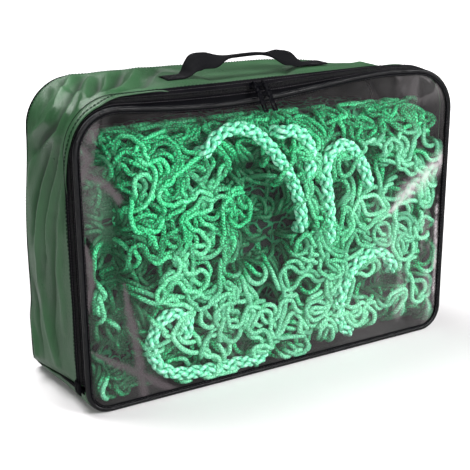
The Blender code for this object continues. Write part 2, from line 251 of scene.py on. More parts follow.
class Field:
    """A number, colour or place that varies over a surface, worked out by shader nodes."""

    def __init__(self, tree, socket):
        self.tree = tree
        self.socket = socket

    def node(self, kind, inputs, output=0, **settings):
        return Field(self.tree, put(self.tree, kind, inputs, **settings).outputs[output])

    def math(self, operation, other=0.0, third=0.0, clamp=False):
        inputs = {0: self, 1: other, 2: third}
        return self.node("Math", inputs, operation=operation, use_clamp=clamp)

    def __add__(self, other):
        return self.math("ADD", other)

    def __mul__(self, other):
        return self.math("MULTIPLY", other)

    def split(self):
        made = put(self.tree, "SeparateXYZ", {"Vector": self})
        return [Field(self.tree, socket) for socket in made.outputs]

    def mix(self, first, second):
        """The first colour where this field is 0, the second where it is 1."""
        return self.node("Mix", {0: self, 6: first, 7: second}, 2, data_type="RGBA")

    def between(self, low, high, low_out=0.0, high_out=1.0):
        """low..high mapped to low_out..high_out by a smooth step, held at both ends."""
        inputs = {"Value": self, "From Min": low, "From Max": high, "To Min": low_out, "To Max": high_out}
        return self.node("MapRange", inputs, "Result", interpolation_type="SMOOTHSTEP")

    def noise(self, scale, detail=3.0, stretch=None):
        place = self
        if stretch:
            place = self.node("Mapping", {"Vector": self, "Scale": stretch})
        return self.node("TexNoise", {"Vector": place, "Scale": scale, "Detail": detail}, "Fac")

    def colours(self, *stops):
        """A colour ramp through (position, colour) stops."""
        made = put(self.tree, "ValToRGB", {"Fac": self})
        while len(made.color_ramp.elements) < len(stops):
            made.color_ramp.elements.new(0.5)
        for element, (position, colour) in zip(made.color_ramp.elements, stops):
            element.position = position
            element.color = (*colour, 1.0)
        return Field(self.tree, made.outputs["Color"])

    def bump(self, distance, strength=1.0, under=None):
        """The surface normal of this field taken as a height."""
        inputs = {"Height": self, "Distance": distance, "Strength": strength}
        if under:
            inputs["Normal"] = under
        return self.node("Bump", inputs, "Normal")


class Finish:
    """A material in the making."""

    def __init__(self, name):
        self.material = bpy.data.materials.new(name)
        self.material.use_nodes = True
        self.tree = self.material.node_tree
        self.shader = self.tree.nodes["Principled BSDF"]

    def field(self, kind, output, **settings):
        return Field(self.tree, put(self.tree, kind, **settings).outputs[output])

    def flat(self):
        """The piece's own UV, in metres along and across the cloth or cord."""
        return self.field("UVMap", "UV", uv_map="metres")

    def solid(self):
        """The place in the bag, in metres."""
        return self.field("TexCoord", "Object")

    def mark(self, name):
        """A value that the piece's mesh stores at each vertex."""
        return self.field("Attribute", "Fac", attribute_name=name)

    def made(self, **values):
        """Sets the shader's inputs, with _ in place of the spaces of their names."""
        for key, value in values.items():
            socket = self.shader.inputs[key.replace("_", " ")]
            if isinstance(value, Field):
                self.tree.links.new(value.socket, socket)
            else:
                socket.default_value = value
        return self.material


# ---------------------------------------------------------------- materials

def weave(place, pitch):
    """A plain weave's height: over-and-under threads, pitch metres apart."""
    x, y, _ = place.split()
    turn = 2 * math.pi / pitch
    threads = (x * turn).math("SINE") * (y * turn).math("SINE")
    return threads.math("MULTIPLY_ADD", 0.5, 0.5)


def cloth_material(name, dark, pale, pitch, roughness, sheen, specular):
    """Woven cloth: thread relief, uneven dye, rubbed places and a sheen. Its shade mark runs from -1 in
    a fold to 1 on a crest: painted shade darkens folds, which are also duller, and painted light lifts
    crests."""
    look = Finish(name)
    flat = look.flat()
    solid = look.solid()
    shade = look.mark("shade")
    threads = weave(flat, pitch)
    blotches = solid.noise(14.0, 4.0)
    streaks = flat.noise(30.0, 2.0, (1.0, 12.0, 1.0))
    # Painted shade and light: the shade mark darkens the colour in folds, down to the deepest stop, and
    # lightens it on crests
    tone = blotches * 0.65 + streaks * 0.25 + threads * 0.22 + shade * 0.45
    deepest = tuple(0.35 * value for value in dark)
    rubbed = blotches.between(0.3, 0.7, roughness - 0.07, roughness + 0.09)
    return look.made(
        Base_Color=tone.colours((0.04, deepest), (0.34, dark), (0.85, pale)),
        Roughness=rubbed + shade.between(-0.7, -0.05, 0.34, 0.0),
        Normal=solid.noise(55.0, 5.0).bump(0.0012, 0.35, threads.bump(pitch * 0.28, 0.5)),
        Sheen_Weight=sheen,
        Sheen_Roughness=0.35,
        Specular_IOR_Level=specular,
    )


def studio_white():
    """White to the camera, and greyer in the light that it throws back on the bag."""
    look = Finish("studio_white")
    solid = look.solid()
    camera_ray = look.field("LightPath", "Is Camera Ray")
    away = solid.node("VectorMath", {0: solid}, "Value", operation="LENGTH")
    seen = solid.noise(3.0).colours((0.3, (0.86, 0.84, 0.85)), (0.7, (0.89, 0.87, 0.88)))
    return look.made(
        Base_Color=camera_ray.mix((0.50, 0.50, 0.50, 1), seen),
        Emission_Color=(1, 1, 1, 1),
        Emission_Strength=away.between(0.45, 1.3) * camera_ray,
        Roughness=0.85,
        Specular_IOR_Level=0.1,
    )


def cord_material(name, tones, along_pitch, around, speckle, specular, painted_pale=0.0, painted_glints=0.42):
    """Braided cord: chevrons of strand, darker in their grooves as painted shade, and pale flecks as
    painted highlights.
    painted_pale is how much paler and milkier the cord is painted near the film, low down and to the right:
    painted light."""
    look = Finish(name)
    solid = look.solid()
    along, turned, _ = look.flat().split()
    lean = along * (1.0 / along_pitch) + (turned * around).math("PINGPONG", 0.5) * 1.6
    strand = lean.math("PINGPONG", 0.5) * 2.0
    flecks = solid.noise(speckle, 2.0)
    # Painted shade and highlights: the chevrons darken the grooves, the shade mark adds each strand's tone
    # and painted shade, and the flecks are painted highlights
    total = strand * 0.22 + look.mark("shade") + flecks.between(0.40, 0.66) * painted_glints
    dark, middle, pale = tones
    clean = total.colours((0.02, dark), (0.38, middle), (0.88, pale))
    # Painted light: a paler, milkier colour mixed in near the film, low down and to the right
    milky = total.colours((0.05, (0.14, 0.55, 0.33)), (0.60, (0.48, 0.92, 0.70)))
    x, y, z = solid.split()
    patch = solid.noise(16.0, 3.0).between(0.42, 0.62) * 0.45
    zone = z.between(0.05, 0.20, 1.0, 0.0).math("MAXIMUM", x.between(0.02, 0.20))
    zone = zone.math("ADD", patch, clamp=True)
    return look.made(
        Base_Color=(zone * y.between(-0.064, -0.0715, 0.0, painted_pale)).mix(clean, milky),
        Roughness=flecks.between(0.3, 0.7, 0.46, 0.66),
        Normal=strand.bump(0.0007, 0.8),
        Specular_IOR_Level=specular,
    )


def painted_film_light(look, solid):
    """How much painted light clouds the film: a veil of painted reflection low down, to the right and along
    the top;
    painted glares; and painted reflections of small facets at its crumpled top corners.
    """
    x, _, z = solid.split()
    # Painted reflection: a veil low down, to the right and along the top edge, broken up by noise
    veil = z.between(0.02, 0.24, 1.0, 0.0) * 0.034 + x.between(0.0, 0.22) * 0.024
    veil = (veil + z.between(0.305, 0.325) * 0.010) * solid.noise(11.0, 3.0).between(0.35, 0.65, 0.4, 1.2)
    laid = {"Vector": solid, "Rotation": (0, math.radians(-42), 0), "Scale": (11.0, 9.0, 2.6)}
    laid = solid.node("Mapping", laid)
    drawn = {"Vector": laid, "Scale": 5.0, "Detail": 5.0, "Distortion": 0.7}
    streak = solid.node("TexNoise", drawn, "Fac")
    # Painted glares: a streak at the far right, and the glare lines stored on the mesh
    far_right = x.between(0.11, 0.20) * z.between(0.22, 0.29, 1.0, 0.25)
    line = look.mark("glare") * solid.noise(130.0, 4.0).between(0.30, 0.62, 0.45, 1.0)
    glare = streak.between(0.52, 0.68) * far_right * 0.10 + line * 0.48
    # Painted reflections of small facets at the crumpled top corners
    shards = solid.node("TexVoronoi", {"Vector": solid, "Scale": 40.0}, "Color", feature="F1")
    left_corner = x.between(-0.232, -0.205, 1.0, 0.0) * z.between(0.17, 0.25)
    right_corner = x.between(0.10, 0.20) * z.between(0.300, 0.325)
    facets = shards.split()[0].between(0.45, 0.50) * (left_corner + right_corner) * 0.060
    return (veil + glare + facets).math("ADD", 0.003, clamp=True)


def film_material():
    """Clear vinyl: see-through with a skin gloss, greyed where it is creased, and clouded in patches by
    painted reflections and glares.
    """
    look = Finish("clear_film")
    look.tree.nodes.remove(look.shader)
    solid = look.solid()
    skin = solid.noise(70.0, 3.0).bump(0.0006, 0.4)
    clear = solid.node("BsdfTransparent", {"Color": (0.98, 0.985, 0.98, 1)})
    # The colour of the painted reflections and glares
    painted_reflection = solid.node("BsdfDiffuse", {"Color": (0.78, 0.72, 0.74, 1), "Normal": skin})
    grey = solid.node("BsdfDiffuse", {"Color": (0.088, 0.074, 0.080, 1), "Normal": skin})
    gloss = solid.node("BsdfGlossy", {"Color": (1, 1, 1, 1), "Roughness": 0.10, "Normal": skin})
    body = solid.node("MixShader", {0: painted_film_light(look, solid), 1: clear, 2: painted_reflection})
    body = solid.node("MixShader", {0: look.mark("fold") * 0.80, 1: body, 2: grey})
    facing = solid.node("LayerWeight", {"Blend": 0.5, "Normal": skin}, "Facing")
    grazing = facing.math("POWER", 5.0).math("MULTIPLY_ADD", 0.5, 0.008)
    whole = solid.node("MixShader", {0: grazing, 1: body, 2: gloss})
    look.tree.links.new(whole.socket, look.tree.nodes["Material Output"].inputs["Surface"])
    return look.material


def metal_material():
    """Black enamel, worn to a paler grey in small scuffs."""
    look = Finish("black_metal")
    scuff = look.solid().noise(420.0, 4.0)
    return look.made(
        Base_Color=scuff.colours((0.45, (0.001, 0.001, 0.002)), (0.75, (0.010, 0.010, 0.011))),
        Roughness=scuff.between(0.35, 0.7, 0.26, 0.46),
        Normal=scuff.bump(0.0002, 0.3),
        Specular_IOR_Level=0.06,
    )


def core_material():
    """Deep folds of the same green cord, painted dark green with black between the cords: painted shade."""
    look = Finish("net_core")
    solid = look.solid()
    warp = solid.node("TexNoise", {"Vector": solid, "Scale": 26.0, "Detail": 2.0}, "Color")
    bent = solid.node("VectorMath", {0: warp, 1: (0.05, 0.05, 0.05), 2: solid}, operation="MULTIPLY_ADD")
    cells = {"Vector": bent, "Scale": 62.0}
    cells = solid.node("TexVoronoi", cells, "Distance", feature="DISTANCE_TO_EDGE")
    cord = cells.between(0.05, 0.16, 1.0, 0.0)
    tone = cord * solid.noise(500.0, 2.0).math("MULTIPLY_ADD", 0.8, 0.5)
    # Painted shade: black between the cords, and cord far darker than the front folds' cord
    black = (0.003, 0.008, 0.006)
    green = (0.004, 0.070, 0.030)
    pale = (0.012, 0.200, 0.085)
    return look.made(
        Base_Color=tone.colours((0.05, black), (0.45, green), (1.0, pale)),
        Normal=cord.bump(0.004, 1.0),
        Roughness=0.75,
        Specular_IOR_Level=0.3,
    )


BLACK = (0.001, 0.001, 0.002)
CLOTH_GREEN = ((0.013, 0.056, 0.019), (0.038, 0.122, 0.049))
COATING_GREY = ((0.010, 0.011, 0.011), (0.026, 0.028, 0.028))
WEBBING_BLACK = ((0.002, 0.002, 0.003), (0.011, 0.011, 0.012))
GREEN = cloth_material("green_cloth", *CLOTH_GREEN, 0.00065, 0.34, 0.02, 0.44)
COATING = cloth_material("dark_coating", *COATING_GREY, 0.00065, 0.55, 0.0, 0.2)
TAPE = cloth_material("black_tape", BLACK, (0.012, 0.011, 0.013), 0.00120, 0.62, 0.0, 0.01)
TRIM = cloth_material("black_trim", BLACK, (0.004, 0.004, 0.005), 0.00050, 0.42, 0.0, 0.02)
VINYL = cloth_material("black_vinyl", BLACK, (0.005, 0.005, 0.006), 0.00060, 0.22, 0.0, 0.22)
WEBBING = cloth_material("black_webbing", *WEBBING_BLACK, 0.00130, 0.65, 0.01, 0.03)
THREAD_GREEN = ((0.001, 0.008, 0.003), (0.004, 0.026, 0.010), (0.016, 0.070, 0.030))
THREAD_BLACK = ((0.006, 0.006, 0.007), (0.030, 0.028, 0.031), (0.110, 0.104, 0.112))
NYLON = ((0.003, 0.003, 0.004), (0.009, 0.009, 0.010), (0.034, 0.032, 0.036))
NET_GREEN = ((0.003, 0.110, 0.040), (0.035, 0.700, 0.270), (0.420, 0.960, 0.680))
ROPE_GREEN = ((0.006, 0.180, 0.080), (0.110, 0.720, 0.400), (0.560, 0.980, 0.800))
THREAD = cord_material("green_thread", THREAD_GREEN, 0.0008, 1, 900.0, 0.2)
BLACK_THREAD = cord_material("black_thread", THREAD_BLACK, 0.0008, 1, 900.0, 0.2)
COIL = cord_material("zip_nylon", NYLON, 0.0030, 1, 600.0, 0.25)
CORD = cord_material("net_cord", NET_GREEN, 0.0036, 2, 560.0, 0.35, painted_pale=0.60, painted_glints=0.36)
ROPE = cord_material("border_cord", ROPE_GREEN, 0.0050, 1, 520.0, 0.35, painted_pale=0.15, painted_glints=0.22)
FILM = film_material()
METAL = metal_material()


# ---------------------------------------------------------------- mesh tools

def mesh_piece(name, vertices, faces, look, uvs, shade=None):
    """A smooth mesh object from arrays. uvs has one row for each vertex, in metres."""
    data = bpy.data.meshes.new(name)
    data.from_pydata(np.asarray(vertices, float).reshape(-1, 3).tolist(), [], faces)
    layer = data.uv_layers.new(name="metres")
    corner = np.zeros(len(data.loops), np.int32)
    data.loops.foreach_get("vertex_index", corner)
    layer.data.foreach_set("uv", np.asarray(uvs, np.float32)[corner].ravel())
    if shade is not None:
        mark(data, "shade", shade)
    data.materials.append(look)
    data.shade_smooth()
    made = bpy.data.objects.new(name, data)
    scene.collection.objects.link(made)
    return made


def mark(data, name, values):
    attribute = data.attributes.new(name, "FLOAT", "POINT")
    attribute.data.foreach_set("value", np.asarray(values, np.float32))


def grid_faces(rows, columns, closed_rows=False, closed_columns=False):
    i = np.arange(rows if closed_rows else rows - 1)
    j = np.arange(columns if closed_columns else columns - 1)
    i, j = (a.ravel() for a in np.meshgrid(i, j, indexing="ij"))
    row, next_row = i * columns, (i + 1) % rows * columns
    next_j = (j + 1) % columns
    return np.stack([row + j, row + next_j, next_row + next_j, next_row + j], 1).tolist()


def end_caps(rows, columns):
    """Faces that close both ends of a grid whose columns run round a section."""
    last = range((rows - 1) * columns, rows * columns)
    return [list(range(columns)), list(last)[::-1]]


def grid_uvs(along, across):
    return np.stack([np.repeat(along, len(across)), np.tile(across, len(along))], 1)


def run_along(line):
    """How far along a line each of its points lies."""
    return np.concatenate([[0], np.cumsum(np.linalg.norm(np.diff(line, axis=0), axis=1))])


def read_at(wanted, along, rows):
    """rows, which are known at the places in along, read at the wanted places."""
    return np.stack([np.interp(wanted, along, column) for column in np.transpose(rows)], 1)


def unit(vectors):
    return vectors / np.maximum(np.linalg.norm(vectors, axis=-1, keepdims=True), 1e-9)


def frames_along(path, closed=False):
    """Tangents and two side vectors of a path, carried along it without twisting."""
    if closed:
        tangents = unit(np.roll(path, -1, 0) - np.roll(path, 1, 0))
    else:
        tangents = unit(np.gradient(path, axis=0))
    first = np.cross(tangents[0], (0.0, 1.0, 0.0))
    if np.linalg.norm(first) < 0.2:
        first = np.cross(tangents[0], (1.0, 0.0, 0.0))
    side = first / np.linalg.norm(first)
    sides = np.empty_like(path)
    for k, tangent in enumerate(tangents):
        side = side - tangent * (side @ tangent)
        side = side / math.sqrt(side @ side)
        sides[k] = side
    return tangents, sides, np.cross(tangents, sides)


def tube_arrays(path, radius, sides, closed, flat, knobs):
    """Rings of a tube round a path. radius may differ at each point, flat thins it one way, and
    knobs raises every other vertex along and around it, as a braid's strands do."""
    _, side, over = frames_along(path, closed)
    turn = np.linspace(0, 2 * math.pi, sides, endpoint=False)
    radius = np.broadcast_to(np.asarray(radius, float), (len(path),))[:, None, None]
    ring = np.cos(turn)[None, :, None] * side[:, None, :]
    ring = ring + flat * np.sin(turn)[None, :, None] * over[:, None, :]
    parity = (np.arange(len(path))[:, None] + np.arange(sides)[None, :]) % 2
    radius = radius * (1 + knobs * (2 * parity - 1))[:, :, None]
    vertices = (path[:, None, :] + ring * radius).reshape(-1, 3)
    faces = grid_faces(len(path), sides, closed, True)
    if not closed:
        faces += end_caps(len(path), sides)
    return vertices, faces, grid_uvs(run_along(path), turn / (2 * math.pi))


def tubes_piece(name, paths, radius, sides, look, closed=False, shades=None, flat=1.0, knobs=0.0):
    """One mesh of many tubes. radius is one number, or one value or array for each path."""
    vertices, faces, uvs, tones = [], [], [], []
    base = 0
    for k, path in enumerate(paths):
        size = radius[k] if isinstance(radius, list) else radius
        tube, skin, places = tube_arrays(np.asarray(path, float), size, sides, closed, flat, knobs)
        vertices.append(tube)
        faces.extend([[i + base for i in face] for face in skin])
        uvs.append(places)
        tone = np.broadcast_to(0.0 if shades is None else shades[k], (len(path),))
        tones.append(np.repeat(tone, sides))
        base += len(tube)
    vertices, uvs, tones = (np.concatenate(parts) for parts in (vertices, uvs, tones))
    return mesh_piece(name, vertices, faces, look, uvs, tones)


def even_points(line, step, closed=False):
    """Points at even steps along a fine polyline."""
    line = np.asarray(line, float)
    if closed:
        line = np.concatenate([line, line[:1]])
    along = run_along(line)
    count = max(2, round(along[-1] / step))
    out = read_at(np.linspace(0, along[-1], count + 1), along, line)
    return out[:-1] if closed else out


def catmull(points, per_span):
    """A Catmull-Rom curve through points, per_span points on each span."""
    p = np.asarray(points, float)
    p = np.concatenate([[2 * p[0] - p[1]], p, [2 * p[-1] - p[-2]]])
    t = (np.arange(per_span) / per_span)[None, :, None]
    a, b, c, d = (p[k:len(p) - 3 + k, None, :] for k in range(4))
    out = 0.5 * (2 * b + (c - a) * t + (2 * a - 5 * b + 4 * c - d) * t**2 + (3 * b - a - 3 * c + d) * t**3)
    return np.concatenate([out.reshape(-1, p.shape[1]), p[-2:-1]])


def distance_to_line(points, line):
    """From each 2-D point to a polyline, with how far along it the nearest place is, 0 to 1."""
    line = np.asarray(line, float)
    starts = run_along(line)
    best, where = np.full(len(points), 1e9), np.zeros(len(points))
    for k in range(len(line) - 1):
        way = line[k + 1] - line[k]
        share = np.clip(((points - line[k]) @ way) / (way @ way), 0, 1)
        gap = np.linalg.norm(points - line[k] - share[:, None] * way, axis=1)
        nearer = gap < best
        best[nearer] = gap[nearer]
        where[nearer] = (starts[k] + share[nearer] * (starts[k + 1] - starts[k])) / starts[-1]
    return best, where


def lumps(points, scale, seed):
    """Smooth noise from -1 to 1 at each 3-D point."""
    return np.array([noise.noise(Vector(p) * scale + Vector((seed, seed * 1.7, 0))) for p in points])


def ease(values):
    """0 up to 0, 1 from 1 on, and a smooth step between."""
    values = np.clip(values, 0, 1)
    return values * values * (3 - 2 * values)


def ramp(value, low, high):
    """0 below low, 1 above high, and a smooth step between, for one number."""
    share = min(1.0, max(0.0, (value - low) / (high - low)))
    return share * share * (3 - 2 * share)


def blend(low, high, share):
    return low + (high - low) * share


def arch(share):
    """0 at both ends of a crease and 1 in its middle."""
    return np.sin(math.pi * share) ** 0.5


def dress(piece, body, slot, *nodes):
    """Puts a piece on its body and hides the CAD nodes that it stands for. Its finish's name, slot, is not
    used.
    """
    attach(piece, body)
    if nodes:
        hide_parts(*nodes)


def stitches(name, line, outward, look, body, slot, length=0.0026, gap=0.0014, radius=0.00045):
    """A row of thread stitches that lie on a line, each dipping into the cloth at its ends."""
    along = run_along(line)
    share = np.array([0.0, 0.2, 0.5, 0.8, 1.0])
    lift = np.array([-0.5, 0.5, 0.8, 0.5, -0.5]) * radius
    paths = []
    for k in range(int(along[-1] / (length + gap))):
        at = k * (length + gap) + share * length
        paths.append(read_at(at, along, line) + unit(read_at(at, along, outward)) * lift[:, None])
    dress(tubes_piece(name, paths, radius, 5, look), body, slot)


# ---------------------------------------------------------------- the bag's outline

def stations_on(lengths, step):
    """Places at even steps on named stretches, each as (stretch, share of it)."""
    found = []
    for name, length in lengths:
        count = max(4, round(length / step))
        found += [(name, i / count) for i in range(count)]
    return found + [(lengths[-1][0], 1.0)]


def upper_stations(step):
    """From the left seam up, over the top and down to the right seam."""
    side = ("left", HEIGHT - TOP_RADIUS - MIDDLE_FOOT_RADIUS)
    arc = TOP_RADIUS * math.pi / 2
    top = ("top", 2 * (HALF_WIDTH - TOP_RADIUS))
    return stations_on((side, ("top_left", arc), top, ("top_right", arc), ("right", side[1])), step)


def foot_stations(step):
    """From the right seam, under the bag, to the left seam."""
    arc = MIDDLE_FOOT_RADIUS * math.pi / 2
    foot = ("foot", 2 * (HALF_WIDTH - MIDDLE_FOOT_RADIUS))
    return stations_on((("foot_right", arc), foot, ("foot_left", arc)), step)


def all_stations(step):
    return upper_stations(step) + foot_stations(step)[1:-1]


def foot_radius(y):
    return blend(FRONT_FOOT_RADIUS, BACK_FOOT_RADIUS, (y - FRONT_Y) / (BACK_Y - FRONT_Y))


def droop_at(x):
    angle = math.pi / 2 * (x - DROOP_X) / DROOP_REACH
    return DROOP * math.cos(max(-math.pi / 2, min(math.pi / 2, angle))) ** 2


def rim(station, y, inset=0.0, droop=0.0, lift=0.0):
    """The point of the CAD outline at a station, with the sag of the back's top edge."""
    place, share = station
    half, high, low = HALF_WIDTH, HEIGHT - TOP_RADIUS, foot_radius(y)
    if place in ("left", "right"):
        side = -1 if place == "left" else 1
        up = share if place == "left" else 1 - share
        x, z = side * (half - inset), blend(low + lift, high, up)
    elif place in ("top_left", "top_right"):
        side = -1 if place == "top_left" else 1
        turn = math.pi / 2 * (share if place == "top_left" else 1 - share)
        reach = TOP_RADIUS - inset
        x = side * (half - TOP_RADIUS + reach * math.cos(turn))
        z = high + reach * math.sin(turn) - droop * droop_at(x) * math.sin(turn) ** 2
    elif place == "top":
        x = blend(-half + TOP_RADIUS, half - TOP_RADIUS, share)
        z = HEIGHT - inset - droop * droop_at(x)
    elif place == "foot":
        x, z = blend(half - low, -half + low, share), inset
    else:
        side = 1 if place == "foot_right" else -1
        turn = math.pi / 2 * (share if place == "foot_right" else 1 - share)
        x = side * (half - low + (low - inset) * math.cos(turn))
        z = low - (low - inset) * math.sin(turn)
    back = ramp(y, -0.045, 0.08)
    sag = BACK_SAG * ramp(x, 0.04, 0.20) + CORNER_SAG * ramp(x, 0.12, 0.24)
    sag = (sag - LEFT_RISE * (1 - ramp(x, -0.12, 0.04))) * back
    sag += FRONT_SAG * ramp(x, 0.13, 0.22)
    above = ramp(z, 0.0, 0.020)
    swell = SIDE_SWELL * above * (1 - ramp(z, 0.15, 0.30))
    swell += FOOT_SWELL * above * (1 - ramp(z, 0.065, 0.095)) - SHOULDER_PINCH * ramp(z, 0.20, 0.30)
    x += swell * back * ramp(abs(x), 0.15, 0.25) * (1 if x > 0 else -1)
    return x, y, z - sag * (z / HEIGHT) ** 3


def band_frame(stations, half, lift=0.0):
    """Along the line where the coils meet: its points, the direction across the sloping band
    towards the gusset or the front piping, the outward normal and the band's width."""
    far = (BAND_BACK_Y, 0.0, 0.0) if half == "outer" else (BAND_FRONT_Y, FRONT_INSET, 1.0)
    middle = np.array([rim(s, COIL_Y, COIL_INSET, COIL_DROOP, lift) for s in stations])
    across = np.array([rim(s, *far, lift) for s in stations]) - middle
    normal = unit(np.cross(np.gradient(middle, axis=0), across))
    normal[(normal * (middle - (0, 0, HEIGHT / 2))).sum(1) < 0] *= -1
    return middle, unit(across), normal, np.linalg.norm(across, axis=1)


# ---------------------------------------------------------------- the cloth of the bag

# Creases in the gusset, in millimetres: half width, height, and points of (distance from the
# left seam, y)
CREASES = [
    (5.0, -12.0, (394, 78), (352, 12), (328, -12), (304, -12), (290, 2), (256, 50)),
    (4.2, 5.0, (382, 56), (345, -6), (320, -28), (294, -22), (266, 30)),
    (4.8, 6.0, (376, 78), (340, 30), (318, 10), (300, 14), (270, 64)),
    (4.0, -6.0, (360, 74), (346, 46), (334, 34)),
    (4.5, -4.0, (340, 72), (322, 46), (300, 44)),
    (5.0, 6.0, (388, 66), (366, 18), (342, -36), (324, -50)),
    (3.8, -6.5, (396, 50), (372, -4), (350, -40)),
    (3.8, 4.5, (410, 60), (384, 6), (362, -22)),
    (4.0, -5.5, (440, 78), (404, 18), (374, -20)),
    (5.0, 6.5, (458, 76), (424, 22), (390, -26), (352, -48)),
    (4.5, -5.0, (484, 70), (440, 10), (400, -34), (366, -46)),
    (3.6, 3.0, (318, -40), (350, -44), (385, -44), (440, -36)),
    (4.8, 5.5, (308, -45), (288, -46), (256, -36), (228, -22), (150, 10)),
    (4.0, -4.0, (300, -52), (276, -53), (246, -48), (190, -42)),
    (4.8, -5.0, (288, -30), (250, -18), (200, 2), (120, 20)),
    (4.8, 4.8, (284, -18), (224, 10), (148, 34), (80, 36)),
    (5.5, -6.0, (274, -2), (244, 18), (206, 36), (150, 52)),
    (4.5, 3.0, (262, 40), (236, 58), (208, 68), (160, 70)),
    (5.5, 3.6, (250, -46), (200, -36), (130, -20), (60, -26)),
    (6.0, -4.0, (200, -20), (130, -4), (60, 4), (14, -14)),
    (6.0, 4.5, (120, 34), (70, 22), (14, -6)),
    (5.0, -3.5, (110, 66), (76, 52), (44, 40), (12, 30)),
    (4.2, 6.5, (82, 78), (48, 66), (28, 52), (3, 48)),
    (5.5, -9.5, (66, 79), (34, 71), (3, 62)),
    (8.0, -3.5, (470, 72), (500, 10), (505, -45)),
    (8.0, -3.5, (590, -46), (620, 0), (660, 60)),
    (7.0, 2.2, (690, -48), (730, 0), (750, 72)),
    (6.0, -4.0, (710, -44), (760, -10), (790, 64)),
    (6.0, 3.5, (780, -46), (810, 0), (860, 66)),
    (6.0, -5.0, (800, -40), (860, -20), (960, -10), (1060, -20)),
    (7.0, 4.5, (850, 60), (910, 30), (990, 34), (1070, 20)),
    (6.5, -6.0, (960, 70), (1020, 50), (1080, 10)),
]
MOST_CREASE = 0.0090

# Folds in the back panel, in millimetres: half width, height, and points of (x, z)
BACK_FOLDS = [
    (8, -4.0, (-240, 330), (-190, 270), (-120, 235)),
    (9, -4.5, (235, 310), (180, 262), (110, 240)),
    (8, -3.5, (-245, 30), (-190, 70), (-110, 85)),
    (8, -4.0, (245, 26), (200, 66), (140, 90), (60, 96)),
    (10, -3.0, (-60, 345), (-30, 285), (10, 255)),
    (9, 2.5, (90, 340), (70, 290), (30, 250)),
    (14, -2.0, (-160, 180), (-80, 160), (30, 170)),
]

# Where the cloth folds forward over the zip: distance from the left seam, and the gap that it
# leaves to the coils
COVER = mm(
    (215, 11.0), (240, 7.5), (266, 2.0), (290, -4.6), (345, -5.0), (372, 4.0), (410, 8.0), (445, 11.0)
)


def cover_fold(run, width):
    """How near the coils the cloth reaches at each station, and how far it lies on top of the tape."""
    place, gap = np.array(COVER).T
    cover = ease((run - place[0]) / 0.03) * ease((place[-1] - run) / 0.03)
    reach = blend(TAPE_START + 0.0015, np.minimum(np.interp(run, place, gap), width), cover)
    return reach, cover


def crease_heights(flat):
    """The creases' height at each (distance, y) of the gusset. A ridge is round and a valley sharp."""
    height = np.zeros(len(flat))
    for half, size, *line in CREASES:
        gap, where = distance_to_line(flat, mm(*line))
        profile = np.exp(-(gap / half * 1000) ** (2 if size > 0 else 1.25))
        height += size / 1000 * profile * arch(np.clip(where, 0.04, 0.96))
    return height


def gusset():
    lift = 0.0028
    stations = upper_stations(0.0030)
    depths = np.linspace(CLOTH_BACK_Y, BAND_BACK_Y, 44)
    tuck = [TUCK * ramp(y, CLOTH_BACK_Y - TUCK_REACH, CLOTH_BACK_Y) for y in depths]
    body = np.array([[rim(s, y, inset, 0.0, lift) for y, inset in zip(depths, tuck)] for s in stations])
    middle, across, outward, width = band_frame(stations, "outer", lift)
    reach, cover = cover_fold(run_along(body[:, 20]), width)
    slope = []
    for share in (0.12, 0.3, 0.5, 0.7, 0.86, 1.0):
        distance = blend(width, reach, share)
        rise = cover * (0.0012 + 0.0026 * ease((width - distance) / 0.006)) - 0.0008 * (1 - cover)
        slope.append(middle + across * distance[:, None] + outward * rise[:, None])
    grid = np.concatenate([body, np.stack(slope, 1)], 1)
    normals = unit(np.cross(np.gradient(grid, axis=1), np.gradient(grid, axis=0)))
    normals[(normals * (grid - (0, 0, HEIGHT / 2))).sum(2) < 0] *= -1
    along = run_along(grid[:, 20])
    flat = grid_uvs(along, np.concatenate([depths, np.linspace(BAND_BACK_Y, BAND_BACK_Y - 0.012, 7)[1:]]))
    run, y = flat.T
    points = grid.reshape(-1, 3)
    held = ease((CLOTH_BACK_Y - y) / 0.022) * ease((y - BAND_BACK_Y) / 0.008)
    held *= ease(run / 0.012) * ease((along[-1] - run) / 0.012)
    creases = crease_heights(flat)
    height = creases - 0.0050 * np.exp(-(((run - 0.300) / 0.045) ** 2))
    height = MOST_CREASE * np.tanh(height / MOST_CREASE)
    height += 0.0028 * lumps(points, 11.0, 3.0) + 0.0011 * lumps(points, 34.0, 8.0)
    bow = np.sin(math.pi * np.clip((y - BAND_BACK_Y) / (CLOTH_BACK_Y - BAND_BACK_Y), 0, 1))
    side = ease((np.abs(points[:, 0]) - 0.18) / 0.07) * ease((0.29 - points[:, 2]) / 0.08)
    top = ease((points[:, 2] - HEIGHT + 0.004) / 0.003)
    height += (side * 0.0035 - top * 0.0030) * bow
    tabs = np.exp(-((np.abs(points[:, 0]) - 0.09) / 0.035) ** 4 - (points[:, 1] / 0.03) ** 4)
    height *= 1 - top * tabs
    points = points + normals.reshape(-1, 3) * (height * held)[:, None]
    # Painted shade: the shade mark darkens the cloth's colour in the crease valleys, and lightens it a
    # little, up to 0.3, on the ridges
    shade = np.clip(creases / (0.6 * MOST_CREASE), -1, 0.3) * held
    piece = mesh_piece("gusset_cloth", points, grid_faces(*grid.shape[:2]), GREEN, flat, shade)
    finish_cloth(piece, "gusset_strip")
    shaped = points.reshape(grid.shape)
    seam = []
    for k, line in enumerate(shaped[:, ::-1]):
        at = STITCH_INSET + (1 - cover[k]) * (width[k] - reach[k])
        seam.append(read_at([at], run_along(line), line)[0])
    outward = normals[:, -10]
    stitches("gusset_stitches", seam, outward, THREAD, "bag", "green_cloth", 0.0030, 0.0017, 0.00070)
    row = int(np.argmin(np.abs(depths - (CLOTH_BACK_Y - 0.005))))
    stitches("gusset_back_stitches", shaped[:, row], normals[:, row], THREAD, "bag", "green_cloth")


